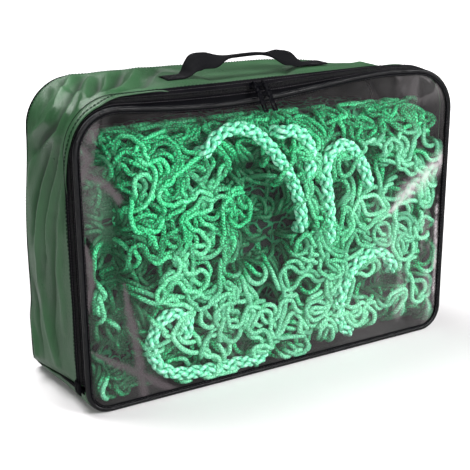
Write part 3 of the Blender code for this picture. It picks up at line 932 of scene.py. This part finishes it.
def thicken(piece, thickness):
    shell = piece.modifiers.new("thickness", "SOLIDIFY")
    shell.thickness = thickness
    shell.offset = -1.0
    shell.material_offset = 1 if len(piece.data.materials) > 1 else 0
    shell.use_even_offset = False


def finish_cloth(piece, node):
    """Gives the bag's green cloth its thickness, with the dark coating on its inside."""
    piece.data.materials.append(COATING)
    thicken(piece, CLOTH)
    dress(piece, "bag", "green_cloth", node)


def filled_outline(outline, spacing):
    """Triangles that fill a 2-D outline: its own points and staggered rows of points inside."""
    low, high = outline.min(0), outline.max(0)
    inside = []
    for k, z in enumerate(np.arange(low[1] + spacing / 2, high[1], spacing * 0.87)):
        for x in np.arange(low[0] + spacing * (0.5 if k % 2 else 1.0), high[0], spacing):
            inside.append((x, z))
    inside = np.array(inside)
    crossing = np.zeros(len(inside), bool)
    for a, b in zip(outline, np.roll(outline, -1, 0)):
        if a[1] != b[1]:
            spans = (a[1] > inside[:, 1]) != (b[1] > inside[:, 1])
            reach = a[0] + (inside[:, 1] - a[1]) * (b[0] - a[0]) / (b[1] - a[1])
            crossing ^= spans & (inside[:, 0] < reach)
    inside = inside[crossing & (edge_distance(inside, outline) > spacing * 0.6)]
    points = [Vector(p) for p in np.concatenate([outline, inside])]
    edges = [(i, (i + 1) % len(outline)) for i in range(len(outline))]
    made = delaunay_2d_cdt(points, edges, [], 1, 1e-7)
    return np.array([tuple(p) for p in made[0]]), made[2]


def edge_distance(points, outline):
    near = np.full(len(points), 1e9)
    for p in outline:
        near = np.minimum(near, np.linalg.norm(points - p, axis=1))
    return near


def panel(name, outline, y, spacing, field, look, facing):
    """A cloth or film panel over an outline of (x, z), pushed along Y by field(x, z, edge distance)."""
    flat, faces = filled_outline(outline, spacing)
    points = upright(flat)
    points[:, 1] = y + field(flat, edge_distance(flat, outline))
    corners = points[np.array([f[:3] for f in faces])]
    turned = np.cross(corners[:, 1] - corners[:, 0], corners[:, 2] - corners[:, 0])[:, 1].sum()
    if turned * facing < 0:
        faces = [f[::-1] for f in faces]
    return mesh_piece(name, points, faces, look, flat)


def upright(flat):
    """Points of (x, z) as 3-D points at y = 0."""
    return np.stack([flat[:, 0], np.zeros(len(flat)), flat[:, 1]], 1)


def back_field(flat, near):
    """How far the back panel stands out: it is pushed by the net, and folded at its corners."""
    points = upright(flat)
    swell = 0.0065 * (1 - np.exp(-(near / 0.055) ** 1.4)) * ease((0.36 - flat[:, 1]) / 0.16)
    height = swell + 0.0024 * lumps(points, 13.0, 21.0) + 0.0010 * lumps(points, 38.0, 5.0)
    for half, size, *line in BACK_FOLDS:
        gap, where = distance_to_line(flat, mm(*line))
        height += size / 1000 * np.exp(-(gap / half * 1000) ** 2) * arch(np.clip(where, 0.05, 0.95))
    return height * ease(near / 0.012)


def back_panel():
    outline = np.array([rim(s, BACK_Y, CLOTH_END)[::2] for s in all_stations(0.0045)])
    piece = panel("back_cloth", outline, BACK_Y - 2 * CLOTH, 0.0048, back_field, GREEN, 1)
    finish_cloth(piece, "back_panel")


def bottom_panel():
    stations = foot_stations(0.0045)
    depths = np.linspace(CLOTH_BACK_Y, -CLOTH_BACK_Y, 34)
    grid = np.array([[rim(s, y) for y in depths] for s in stations])
    points = grid.reshape(-1, 3)
    level = 1 - ease(points[:, 2] / 0.004)
    rise = level * (0.0010 + 0.0009 * lumps(points, 24.0, 2.0))
    rise += (1 - level) * 0.0012 * lumps(points, 40.0, 4.0)
    edge = np.tile(np.minimum(depths + CLOTH_BACK_Y, CLOTH_BACK_Y - depths), len(stations))
    points[:, 2] = np.maximum(points[:, 2] + rise * ease(edge / 0.008), 0.0002)
    faces = grid_faces(len(stations), len(depths))
    piece = mesh_piece("bottom_cloth", points, faces, GREEN, grid_uvs(run_along(grid[:, 16]), depths))
    if piece.data.polygons[len(faces) // 2].normal.z > 0:
        piece.data.flip_normals()
    finish_cloth(piece, "bottom_panel")


# ---------------------------------------------------------------- trims

SIDES = ((-1, "left"), (1, "right"))
BACK_PIPING_RADIUS = 0.0026
BINDING_RADIUS = 0.0024
# The window's flat border starts this far in from the bag's outline, over the film
BORDER_INSET = FRONT_INSET + PIPING_RADIUS - 0.0006
FILM_Y = -0.0768
BAND_LIFT = 0.0065


def piping(name, y, inset, droop, radius, seed, look):
    """A round cord all round the bag, whose thickness wanders a little."""
    ring = even_points([rim(s, y, inset, droop) for s in all_stations(0.004)], 0.003, closed=True)
    size = [radius * (0.97 + 0.05 * lumps(ring, 60.0, seed))]
    return tubes_piece(name, [ring], size, 14, look, closed=True)


def pipings():
    front_y = FRONT_Y + PIPING_RADIUS
    piece = piping("front_piping_cord", front_y, FRONT_INSET, 1.0, PIPING_RADIUS, 1.0, VINYL)
    dress(piece, "front_panel", "black_trim", "front_piping")
    back_y, inset = BACK_Y - PIPING_RADIUS, PIPING_RADIUS + 0.0012
    piece = piping("back_piping_cord", back_y, inset, 0.0, BACK_PIPING_RADIUS, 2.0, TRIM)
    dress(piece, "bag", "black_trim", "back_piping")


def corner_bindings():
    edge = CLOTH_BACK_Y - 0.002
    for side, name in SIDES:
        depths = np.linspace(edge, -edge, 60)
        line = np.array([(side * (HALF_WIDTH + 0.0004), y, foot_radius(y)) for y in depths])
        line[:, 2] += 0.0006 * lumps(line, 50.0, 3.0)
        piece = tubes_piece("seam_binding_" + name, [line], BINDING_RADIUS, 12, TRIM, flat=0.75)
        dress(piece, "bag", "black_trim", "corner_binding_" + name)


def swept_section(name, band, corners, look):
    """A strip whose cross-section has corners of (distance across, height) in the band's frame.
    A distance of zero or less is counted back from the band's far edge."""
    middle, across, normal, width = band
    points = np.empty((len(middle), len(corners), 3))
    for k, (distance, height) in enumerate(corners):
        reach = width - GAP + distance if distance <= 0 else np.full(len(middle), distance)
        points[:, k] = middle + across * reach[:, None] + normal * height
    faces = grid_faces(*points.shape[:2], False, True) + end_caps(*points.shape[:2])
    piece = mesh_piece(name, points, faces, look, grid_uvs(run_along(middle), run_along(corners)))
    piece.data.validate()
    bevel = piece.modifiers.new("soft_edges", "BEVEL")
    bevel.width = 0.0002
    bevel.segments = 1
    bevel.limit_method = "ANGLE"
    return piece


def zip_band():
    """Tapes, coils and the satin strip, on the band's slope."""
    bands = {half: band_frame(upper_stations(0.003), half, BAND_LIFT) for half in ("outer", "inner")}
    near = [(COIL_SLIT, 0.0001), (COIL_SLIT, 0.0007)]
    near += [(TAPE_START, 0.0008), (TAPE_START + 0.0005, 0.0015)]
    hem = [(-0.0024, 0.0015), (-0.0015, 0.0020), (-0.0002, 0.0019), (0.0, 0.0010), (0.0, 0.0004)]
    edge = [(INNER_TAPE_EDGE - 0.0008, 0.0017), (INNER_TAPE_EDGE, 0.0010), (INNER_TAPE_EDGE, 0.0004)]
    for half, body, far in (("outer", "bag", hem), ("inner", "front_panel", edge)):
        middle, across, normal, width = bands[half]
        piece = swept_section("tape_" + half, bands[half], near + far, TAPE)
        dress(piece, body, "black_zip", "zip_tape_" + half)
        inset = width * 0.62 if half == "outer" else np.full(len(width), TAPE_START + 0.0022)
        row = middle + across * inset[:, None] + normal * 0.0016
        stitches("tape_stitches_" + half, row, normal, BLACK_THREAD, body, "black_zip", 0.0020, 0.0012)
        coil_half(half, body, bands[half])
    strip = [
        (COIL_SLIT, 0.0), (0.0045, 0.0004), (-0.0030, 0.0007), (-0.0008, 0.0004),
        (0.0, -0.0004), (0.0, -0.0016), (COIL_SLIT, -0.0016),
    ]
    piece = swept_section("satin_strip", bands["inner"], strip, TRIM)
    dress(piece, "front_panel", "black_trim", "front_strip")


def coil_half(half, body, band):
    """One side's teeth: a flattened spiral of nylon wound along the tape's edge."""
    middle, across, normal, _ = band
    along = run_along(middle)
    step = np.arange(int(along[-1] / COIL_PITCH) * COIL_STEPS + 1)
    at = step * COIL_PITCH / COIL_STEPS
    phase = step * 2 * math.pi / COIL_STEPS + (0.0 if half == "outer" else math.pi)
    sway = COIL_OFFSET - 0.0001 + 0.00145 * np.cos(phase)
    rise = COIL_HEIGHT + 0.00095 * np.sin(phase)
    middle, across, normal = (read_at(at, along, rows) for rows in (middle, across, normal))
    path = middle + across * sway[:, None] + normal * rise[:, None]
    piece = tubes_piece("coil_" + half, [path], 0.00036, 5, COIL)
    dress(piece, body, "black_zip", "zip_coil_" + half)


# Lines on the film, in millimetres: half width, and points of (x, z). Flat grey creases, and
# painted bright reflections
FILM_FOLDS = [
    (5.6, (-202, 150), (-198, 118), (-191, 80), (-186, 42), (-180, 2)),
    (4.4, (-247, 80), (-222, 61), (-192, 41), (-164, 20), (-139, 2)),
    (4.6, (-246, 212), (-240, 180), (-240, 152), (-247, 128)),
    (4.5, (-236, 276), (-218, 266), (-203, 246)),
    (5.0, (-246, 312), (-236, 296), (-243, 276)),
    (4.5, (-222, 330), (-232, 316)),
]
FILM_GLARES = [
    (10.2, (163, 174), (191, 198), (218, 213), (247, 234)),
    (2.2, (240, 185), (240.5, 140), (242.5, 95), (243, 50)),
]


def mark_film(film):
    """Stores on the film where its creases and its painted reflections lie, for its material to read."""
    flat = np.array([vertex.co.xz for vertex in film.data.vertices])
    wander = 0.0022 * lumps(upright(flat), 95.0, 31.0)
    for name, lines, edge in (("fold", FILM_FOLDS, 4), ("glare", FILM_GLARES, 2)):
        value = np.zeros(len(flat))
        for half, *line in lines:
            gap, where = distance_to_line(flat, mm(*line))
            reach = half / 1000 * (0.25 + 0.75 * ease(where / 0.35))
            value = np.maximum(value, np.exp(-(np.maximum(gap + wander, 0) / reach) ** edge))
        mark(film.data, name, value)


def film_field(flat, near):
    """How far the film stands in or out: it bulges a little, and ripples most at its top corners."""
    x, z = flat.T
    spots = upright(flat)
    ripples = 0.00045 * lumps(spots * (1.0, 1.0, 0.35), 62.0, 4.0) + 0.0006 * lumps(spots, 17.0, 7.0)
    corner = sum(ease((0.10 - np.hypot(x - side * 0.235, z - 0.335)) / 0.06) for side, _ in SIDES)
    edge = ease((x - 0.17) / 0.05)
    ripples += (0.0011 * corner + 0.0008 * edge) * lumps(spots * (1.0, 1.0, 0.6), 46.0, 9.0)
    return (ripples - 0.0012 * ease(near / 0.06)) * ease((near - BINDING_WIDTH) / 0.012)


def window_trim():
    """The film and the flat binding sewn round it."""
    stations = all_stations(0.0035)
    start, end = BORDER_INSET, BORDER_INSET + BINDING_WIDTH
    profile = [
        (start, -0.0776), (start, -0.0786), (start + 0.0004, -0.0790), ((start + end) / 2, -0.0789),
        (end - 0.0005, -0.0789), (end, -0.0785), (end, -0.0776),
    ]
    points = np.array([[rim(s, FRONT_Y, inset, 1.0) for inset, _ in profile] for s in stations])
    points[:, :, 1] = [y for _, y in profile]
    row = points[:, 3]
    wave = 0.00045 * lumps(row * (1, 0, 1), 75.0, 6.0)
    inward = unit(((0, 0, HEIGHT / 2) - points[:, 5]) * (1, 0, 1))
    points[:, 4:] += inward[:, None, :] * wave[:, None, None]
    uvs = grid_uvs(run_along(row), np.linspace(0, 0.009, len(profile)))
    piece = mesh_piece("window_border", points, grid_faces(*points.shape[:2], True, True), TRIM, uvs)
    dress(piece, "front_panel", "black_trim", "window_binding")
    row = np.concatenate([row, row[:1]])
    outward = np.tile((0.0, -1.0, 0.0), (len(row), 1))
    stitches("window_stitches", row, outward, BLACK_THREAD, "front_panel", "black_trim")
    outline = np.array([rim(s, FRONT_Y, BORDER_INSET, 1.0)[::2] for s in stations])
    film = panel("window_film", outline, FILM_Y, 0.0032, film_field, FILM, -1)
    mark_film(film)
    dress(film, "front_panel", "clear_film", "clear_window")


def end_tabs():
    """Folded cloth that covers each end of the zip."""
    rows, columns = 15, 17
    u, v = np.meshgrid(np.linspace(-1, 1, rows), np.linspace(-1, 1, columns), indexing="ij")
    puff = (1 - np.abs(u) ** 5) * (1 - np.abs(v) ** 5)
    creased = 0.0004 * np.sin(9 * v + 2 * u) * puff
    for side, name in SIDES:
        low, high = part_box("zip_end_tab_" + name)
        middle, size = (low + high) / 2, (high - low) / 2
        x = middle.x + side * (-size.x + (2 * size.x + 0.0004) * puff**0.5 + creased)
        y = middle.y + size.y * v * (1 - 0.06 * u**2)
        z = middle.z + size.z * u * (1 - 0.05 * v**2)
        points = np.stack([x, y, z], 2)
        uvs = np.stack([u.ravel() * size.z, v.ravel() * size.y], 1)
        piece = mesh_piece("zip_stub_" + name, points, grid_faces(rows, columns), TRIM, uvs)
        if piece.data.polygons[rows * columns // 2].normal.x * side < 0:
            piece.data.flip_normals()
        thicken(piece, 0.0008)
        dress(piece, "bag", "black_trim", "zip_end_tab_" + name)


# ---------------------------------------------------------------- sliders and handle

def metalwork():
    for name in ("slider_left", "slider_right", "pull_left", "pull_right"):
        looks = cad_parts[name].data.materials
        looks.clear()
        looks.append(METAL)


# The handle's middle line from its left end to its right end, as (x, height over the bag's top)
GRIP = mm(
    (-109, 1.2), (-96, 1.2), (-86, 1.6), (-80, 4.6), (-75.2, 10.8), (-70, 15.0), (-63, 18.6),
    (-45, 18.4), (-20, 19.0), (0, 19.6), (20, 19.0), (45, 14.6), (60, 12.0), (69, 8.8),
    (75, 5.6), (81, 3.0), (88, 1.4), (98, 1.2), (109, 1.2),
)
GRIP_STEP = 0.0016
# Distances from the handle's middle: where it is sewn down, where its riser ends, and between
# which it opens from folded double to flat
SEWN_END = 0.084
RISER = 0.068
GRIP_FOLD_START = 0.050
GRIP_FOLD_END = 0.020
FLARE = 0.60
WEBBING_THICKNESS = 0.0023
FOLDED_HALF_WIDTH = 0.0066
FOLDED_THICKNESS = 0.0040


def power(value, exponent):
    """A power that keeps the sign, which squares off a circle's sine and cosine."""
    return np.sign(value) * np.abs(value) ** exponent


def handle():
    """Webbing sewn flat at each end, folded double across its width in the grip."""
    low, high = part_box("handle_tab_left")
    wide, base = high.y, low.z
    middle = next(k for k, (x, _) in enumerate(GRIP) if x == 0)
    turn = np.linspace(0, 2 * math.pi, 32, endpoint=False)
    across, height = power(np.cos(turn), 0.3), power(np.sin(turn), 0.6)
    for (side, name), route in zip(SIDES, (GRIP[:middle + 1], GRIP[:middle - 1:-1])):
        line = even_points(catmull(route, 10), GRIP_STEP)
        along = unit(np.gradient(line, axis=0))
        up = np.stack([-along[:, 1], along[:, 0]], 1) * -side
        out = np.abs(line[:, 0])
        inside = SEWN_END - out
        folded = 1 - ease((out - GRIP_FOLD_END) / (GRIP_FOLD_START - GRIP_FOLD_END))
        wobble = 0.0009 * lumps(upright(line), 55.0, 5.0) * ease(inside / 0.01)
        sideways = blend(wide, FOLDED_HALF_WIDTH, folded)[:, None] * across + wobble[:, None]
        cup = 0.0016 * across ** 2 * (ease(inside / 0.02) * (1 - folded))[:, None]
        offset = blend(WEBBING_THICKNESS, FOLDED_THICKNESS, folded)[:, None] / 2 * height - cup
        flare = FLARE * ease(inside / 0.018) * (1 - folded) - 0.10 * folded
        offset += flare[:, None] * sideways
        x = line[:, :1] + up[:, :1] * offset
        z = base + line[:, 1:] + up[:, 1:] * offset
        faces = grid_faces(*x.shape, False, True) + end_caps(*x.shape)
        if side < 0:
            faces = [face[::-1] for face in faces]
        uvs = grid_uvs(np.arange(len(line)) * GRIP_STEP, across * wide)
        points = np.stack([x, sideways, z], 2)
        piece = mesh_piece("handle_webbing_" + name, points, faces, WEBBING, uvs)
        side * SEWN_END
        side * RISER
        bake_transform(piece)
        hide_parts("handle_tab_" + name, *(["handle_strap"] if side < 0 else []))
        tab_stitches(side, name, -low.x, wide, base + WEBBING_THICKNESS)


def tab_stitches(side, name, outer, wide, top):
    """A sewn box with a cross in it."""
    x0, x1, w = side * (outer - 0.003), side * (SEWN_END + 0.002), wide - 0.0025
    corners = [(x0, -w), (x0, w), (x1, w), (x1, -w), (x0, -w), (x1, w), (x1, -w), (x0, w)]
    line = even_points([(x, y, top + 0.0001) for x, y in corners], 0.001)
    up = np.tile((0.0, 0.0, 1.0), (len(line), 1))
    name = "handle_stitches_" + name
    stitches(name, line, up, BLACK_THREAD, "bag", "black_webbing", 0.0024, 0.0010, 0.00035)


# ---------------------------------------------------------------- border rope

# The plait: the way along in which a strand goes once round, how far from the middle its strands
# run, by how much they weave over and under, and their own radius
PLAIT_LAY = 0.076
PLAIT_RADIUS = 0.0046
PLAIT_WEAVE = 0.0012
PLAIT_STRAND = 0.0027
PLAIT_STEP = 0.0016


def plait(path):
    """The middle line and the strands of an eight-strand round braid: four turn each way."""
    line = even_points(catmull(path, 12), PLAIT_STEP)
    _, side, over = frames_along(line)
    along = np.arange(len(line)) * PLAIT_STEP
    turn = 2 * math.pi / PLAIT_LAY
    strands, tones = [], []
    for way in (1, -1):
        for k in range(4):
            angle = way * turn * along + k * math.pi / 2 + (math.pi / 4 if way < 0 else 0.0)
            wave = way * np.cos(4 * turn * along + math.pi / 2)
            radius = PLAIT_RADIUS + PLAIT_WEAVE * wave
            spoke = np.cos(angle)[:, None] * side + np.sin(angle)[:, None] * over
            strands.append(line + spoke * radius[:, None])
            # Painted shade: a strand is painted darker where it dives under the others and paler where it
            # passes over, with a small random tone of its own
            tones.append(0.10 + 0.34 * wave + rng.uniform(-0.05, 0.05))
    return line, strands, tones


def border_rope():
    """Each run dives into the net at both ends. Returns the centrelines."""
    lines = []
    for name, route in ROPE_RUNS.items():
        route = [np.array((x, ROPE_Y, z)) for x, z in route]
        ends = []
        for end, before in ((route[0], route[1]), (route[-1], route[-2])):
            way = end - before
            ends.append(end + way / np.linalg.norm(way) * 0.006 + (0, ROPE_DIVE * 0.8, 0))
        line, strands, tones = plait([ends[0], *route, ends[1]])
        piece = tubes_piece(name + "_plait", strands, PLAIT_STRAND, 7, ROPE, shades=tones)
        dress(piece, "bag", "border_cord", name)
        lines.append(line)
    return np.concatenate(lines)


# ---------------------------------------------------------------- the net

# A loop of cord between two junctions: how far it swings sideways, skews along and leans in depth
LOOP_SWING = 0.026
LOOP_SKEW = 0.30
LOOP_LEAN = 0.010
# How far the junctions stray from an even net
STRAY = (0.018, 0.018, 0.004)


def net_layer(random, depth, shift):
    """One fold of the net as strands of points in sheet space: across, up, depth from the front.
    Rows and columns of cord meet at junctions, and each bar between two junctions is a slack loop."""
    columns = round((NET_RIGHT - NET_LEFT) / NODE_SPACING) + 1
    rows = round(SHEET_HEIGHT / NODE_SPACING) + 1
    nodes = np.zeros((rows, columns, 3))
    for i in range(rows):
        for j in range(columns):
            across = NET_LEFT + (NET_RIGHT - NET_LEFT) * (j + 0.5 * (i % 2)) / (columns - 0.5)
            nodes[i, j] = across, SHEET_HEIGHT * i / (rows - 1), depth
    nodes += random.uniform(-1, 1, nodes.shape) * STRAY
    nodes += (shift, 0.8 * shift, 0)
    strands, joints = [], {}
    per_bar = round(BAR / BEAD)
    lines = [[(i, j) for j in range(columns)] for i in range(rows)]
    lines += [[(i, j) for i in range(rows)] for j in range(columns)]
    for line in lines:
        points = [nodes[line[0]]]
        joints.setdefault(line[0], []).append((len(strands), 0))
        for a, b in zip(line, line[1:]):
            start, chord = nodes[a], nodes[b] - nodes[a]
            side = np.array([-chord[1], chord[0], 0.0])
            side /= max(np.linalg.norm(side), 1e-6)
            way = random.choice((-1, 1)) * random.uniform(0.6, 1.25)
            lean = random.uniform(-0.5, 0.5)
            twist = random.uniform(-0.55, 0.55)
            for k in range(1, per_bar + 1):
                t = k / per_bar
                offset = side * (LOOP_SWING * way * math.sin(math.pi * t))
                offset = offset + chord * (twist * math.sin(2 * math.pi * t) * LOOP_SKEW)
                offset = offset + np.array([0, 0, LOOP_LEAN * lean * math.sin(math.pi * t)])
                points.append(start + chord * t + offset)
            joints.setdefault(b, []).append((len(strands), len(points) - 1))
        strands.append(np.array(points))
    return strands, list(joints.values())


def close_pairs(points, reach):
    """Index pairs of points nearer than reach, found on a grid of cells."""
    cell = np.floor((points - points.min(0)) / reach).astype(np.int64) + 1
    span = cell.max(0) + 2
    key = (cell[:, 0] * span[1] + cell[:, 1]) * span[2] + cell[:, 2]
    order = np.argsort(key, kind="stable")
    ranked = key[order]
    found = []
    for dx, dy, dz in np.ndindex(3, 3, 3):
        away = (dx - 1, dy - 1, dz - 1)
        if away < (0, 0, 0):
            continue
        other = key + (away[0] * span[1] + away[1]) * span[2] + away[2]
        low = np.searchsorted(ranked, other, "left")
        count = np.searchsorted(ranked, other, "right") - low
        first = np.repeat(np.arange(len(points)), count)
        offset = np.arange(count.sum()) - np.repeat(np.cumsum(count) - count, count)
        second = order[np.repeat(low, count) + offset]
        if away == (0, 0, 0):
            keep = first < second
            first, second = first[keep], second[keep]
        gap = points[first] - points[second]
        near = (gap * gap).sum(1) < reach * reach
        found.append(np.stack([first[near], second[near]], 1))
    return np.concatenate(found)


def pull_together(points, a, b, rest, share, near_only=False):
    """Moves each pair of points towards its rest distance, or only apart up to it."""
    gap = points[b] - points[a]
    length = np.sqrt((gap * gap).sum(1)) + 1e-9
    error = np.minimum(length - rest, 0) if near_only else length - rest
    step = gap * (share * 0.5 * error / length)[:, None]
    moved = np.zeros_like(points)
    for axis in range(3):
        to_b, to_a = (np.bincount(end, step[:, axis], len(points)) for end in (a, b))
        moved[:, axis] = to_b - to_a
    acts = (error != 0).astype(float)
    count = np.bincount(a, acts, len(points)) + np.bincount(b, acts, len(points))
    points += moved / np.maximum(count, 1)[:, None] * 1.4


def settle(strands, joints, rope, steps):
    """Relaxes the strands: cords keep their length, don't bend sharply, stay tied at the
    junctions, and lie beside and on each other and the border rope, not through them."""
    starts = np.cumsum([0] + [len(s) for s in strands])
    points = np.concatenate(strands)
    strand_of = np.repeat(np.arange(len(strands)), [len(s) for s in strands])
    index = np.arange(len(points))
    one = index[:-1][strand_of[:-1] == strand_of[1:]]
    spans = []
    for reach, least in LEAST_SPANS:
        spans.append((reach, index[:-reach][strand_of[:-reach] == strand_of[reach:]], least))
    tied = np.array([[starts[s] + k for s, k in joint] for joint in joints if len(joint) == 2])
    ends = np.concatenate([starts[:-1], starts[:-1] + 1, starts[1:] - 1, starts[1:] - 2])
    high = np.array([NET_RIGHT, SHEET_HEIGHT, PACK_DEPTH])
    low = np.array([NET_LEFT, 0.0, NET_CORD / 2])
    for step in range(steps):
        if step % 5 == 0:
            pairs = close_pairs(points, NET_CORD * 1.6)
            same = strand_of[pairs[:, 0]] == strand_of[pairs[:, 1]]
            pairs = pairs[~same | (np.abs(pairs[:, 0] - pairs[:, 1]) > 3)]
            both = close_pairs(np.concatenate([points, rope]), 0.013)
            both.sort(axis=1)
            both = both[(both[:, 0] < len(points)) & (both[:, 1] >= len(points))]
        pull_together(points, one, one + 1, BEAD, 1.0)
        for reach, first, least in spans:
            pull_together(points, first, first + reach, BEAD * reach * least, 0.8, True)
        pull_together(points, tied[:, 0], tied[:, 1], NET_CORD * 0.55, 1.0)
        pull_together(points, pairs[:, 0], pairs[:, 1], NET_CORD * 0.97, 1.0, True)
        gap = points[both[:, 0]] - rope[both[:, 1] - len(points)]
        length = np.sqrt((gap * gap).sum(1)) + 1e-9
        push = gap * (np.maximum(ROPE_CLEARANCE - length, 0) / length)[:, None]
        count = np.bincount(both[:, 0], (length < ROPE_CLEARANCE).astype(float), len(points))
        for axis in range(3):
            points[:, axis] += np.bincount(both[:, 0], push[:, axis], len(points)) / np.maximum(count, 1)
        open_channels(points)
        points[ends, 2] += 0.0012
        points[:, 2] -= 0.00006
        np.clip(points, low, high, out=points)
    return [points[start:end] for start, end in zip(starts, starts[1:])]


def open_channels(points):
    """Pushes points out of the channels, sideways and deeper into the bag."""
    flat = points[:, :2] + (0.0, NET_FLOOR)
    for channel in CHANNELS:
        for a, b in zip(channel, channel[1:]):
            start, way = np.array(a[:2]), np.array(b[:2]) - np.array(a[:2])
            share = np.clip(((flat - start) @ way) / (way @ way), 0, 1)
            gap = flat - start - share[:, None] * way
            length = np.linalg.norm(gap, axis=1) + 1e-9
            reach = a[2] + (b[2] - a[2]) * share + NET_CORD / 2
            inside = length < reach
            push = 0.6 * (reach - length)[inside, None]
            points[inside, :2] += gap[inside] / length[inside, None] * push
            points[inside, 2] += 0.0010


def on_bundle(points):
    """From sheet space to the bundle: up the front, round the top edge and back over the top."""
    u, v, w = points.T
    turn_start = SHEET_FRONT - EDGE_RADIUS
    angle = np.clip((v - turn_start) / EDGE_RADIUS, 0, math.pi / 2)
    reach = EDGE_RADIUS - w * 0.8
    y = NET_FRONT_Y + EDGE_RADIUS - reach * np.cos(angle)
    z = NET_FLOOR + turn_start + reach * np.sin(angle) + np.minimum(v - turn_start, 0)
    beyond = np.maximum(v - turn_start - EDGE_RADIUS * math.pi / 2, 0)
    y = np.where(v < turn_start, NET_FRONT_Y + w, y) + beyond
    # The pile is highest at the left and falls away to the back and the right
    share = ease(v / SHEET_FRONT)
    z = z + share * (0.014 - 0.007 * ease((u + 0.12) / 0.34)) - 0.35 * beyond
    return np.stack([u, y, z], 1)


def net(rope):
    random = np.random.default_rng(NET_SEED)
    strands, joints, fold_of = [], [], []
    for fold in range(NET_FOLDS):
        # Folds lie in pairs, so that many cords run side by side
        twin = np.random.default_rng(NET_SEED + fold // 2)
        made, tied = net_layer(twin, FOLD_START + fold * FOLD_DEPTH, TWIN_SHIFT * (fold % 2))
        joints += [[(s + len(strands), k) for s, k in joint] for joint in tied]
        strands += made
        fold_of += [fold] * len(made)
    flat_rope = np.stack([rope[:, 0], rope[:, 2] - NET_FLOOR, rope[:, 1] - NET_FRONT_Y], 1)
    strands = settle(strands, joints, flat_rope, 140)
    tones = random.uniform(-0.16, 0.10, len(strands))
    for fold in range(NET_FOLDS):
        paths, shades = [], []
        for k, strand in enumerate(strands):
            if fold_of[k] == fold:
                path = even_points(catmull(on_bundle(strand), 4), 0.0021)
                bead = np.linspace(0, len(strand) - 1, len(path))
                depth = np.interp(bead, np.arange(len(strand)), strand[:, 2])
                paths.append(path)
                # Painted shade: each strand's own random tone, darkened where the cord lies deeper in the
                # pile
                shades.append(tones[k] - SUNK_SHADE * ease((depth - SUNK_START) / (SUNK_END - SUNK_START)))
        piece = tubes_piece(f"net_fold_{fold + 1}", paths, NET_CORD / 2, 6, CORD, shades=shades, knobs=0.07)
        dress(piece, "bag", "net_cord")


def net_core():
    """The rest of the net's folds behind the front ones, as one lumpy mass painted dark: painted shade."""
    low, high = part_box("net_bundle")
    front = low.y + 0.016
    centre = np.array([0.0, (front + high.y) / 2, (low.z + high.z) / 2])
    size = np.array([high.x - 0.003, (high.y - front) / 2, (high.z - low.z) / 2])
    rows, columns = 90, 180
    lat = np.linspace(-math.pi / 2, math.pi / 2, rows)
    lon = np.linspace(0, 2 * math.pi, columns, endpoint=False)
    lat, lon = np.meshgrid(lat, lon, indexing="ij")
    ring = power(np.cos(lat), 0.28)
    block = (ring * power(np.cos(lon), 0.28), ring * power(np.sin(lon), 0.28), power(np.sin(lat), 0.28))
    points = np.stack(block, 2).reshape(-1, 3)
    shape = centre + points * size
    rough = 0.004 * lumps(shape, 32.0, 12.0) + 0.002 * lumps(shape, 80.0, 14.0)
    shape = shape + unit(points) * (rough - 0.004)[:, None]
    shape[:, 2] = np.maximum(shape[:, 2], low.z)
    faces = grid_faces(rows, columns, False, True)
    piece = mesh_piece("net_core", shape, faces, core_material(), shape[:, [0, 2]])
    dress(piece, "bag", "net_cord", "net_bundle")


# ---------------------------------------------------------------- the whole

place_camera()
rope_line = border_rope()
studio()
gusset()
back_panel()
bottom_panel()
pipings()
corner_bindings()
zip_band()
window_trim()
end_tabs()
metalwork()
handle()
net(rope_line)
net_core()
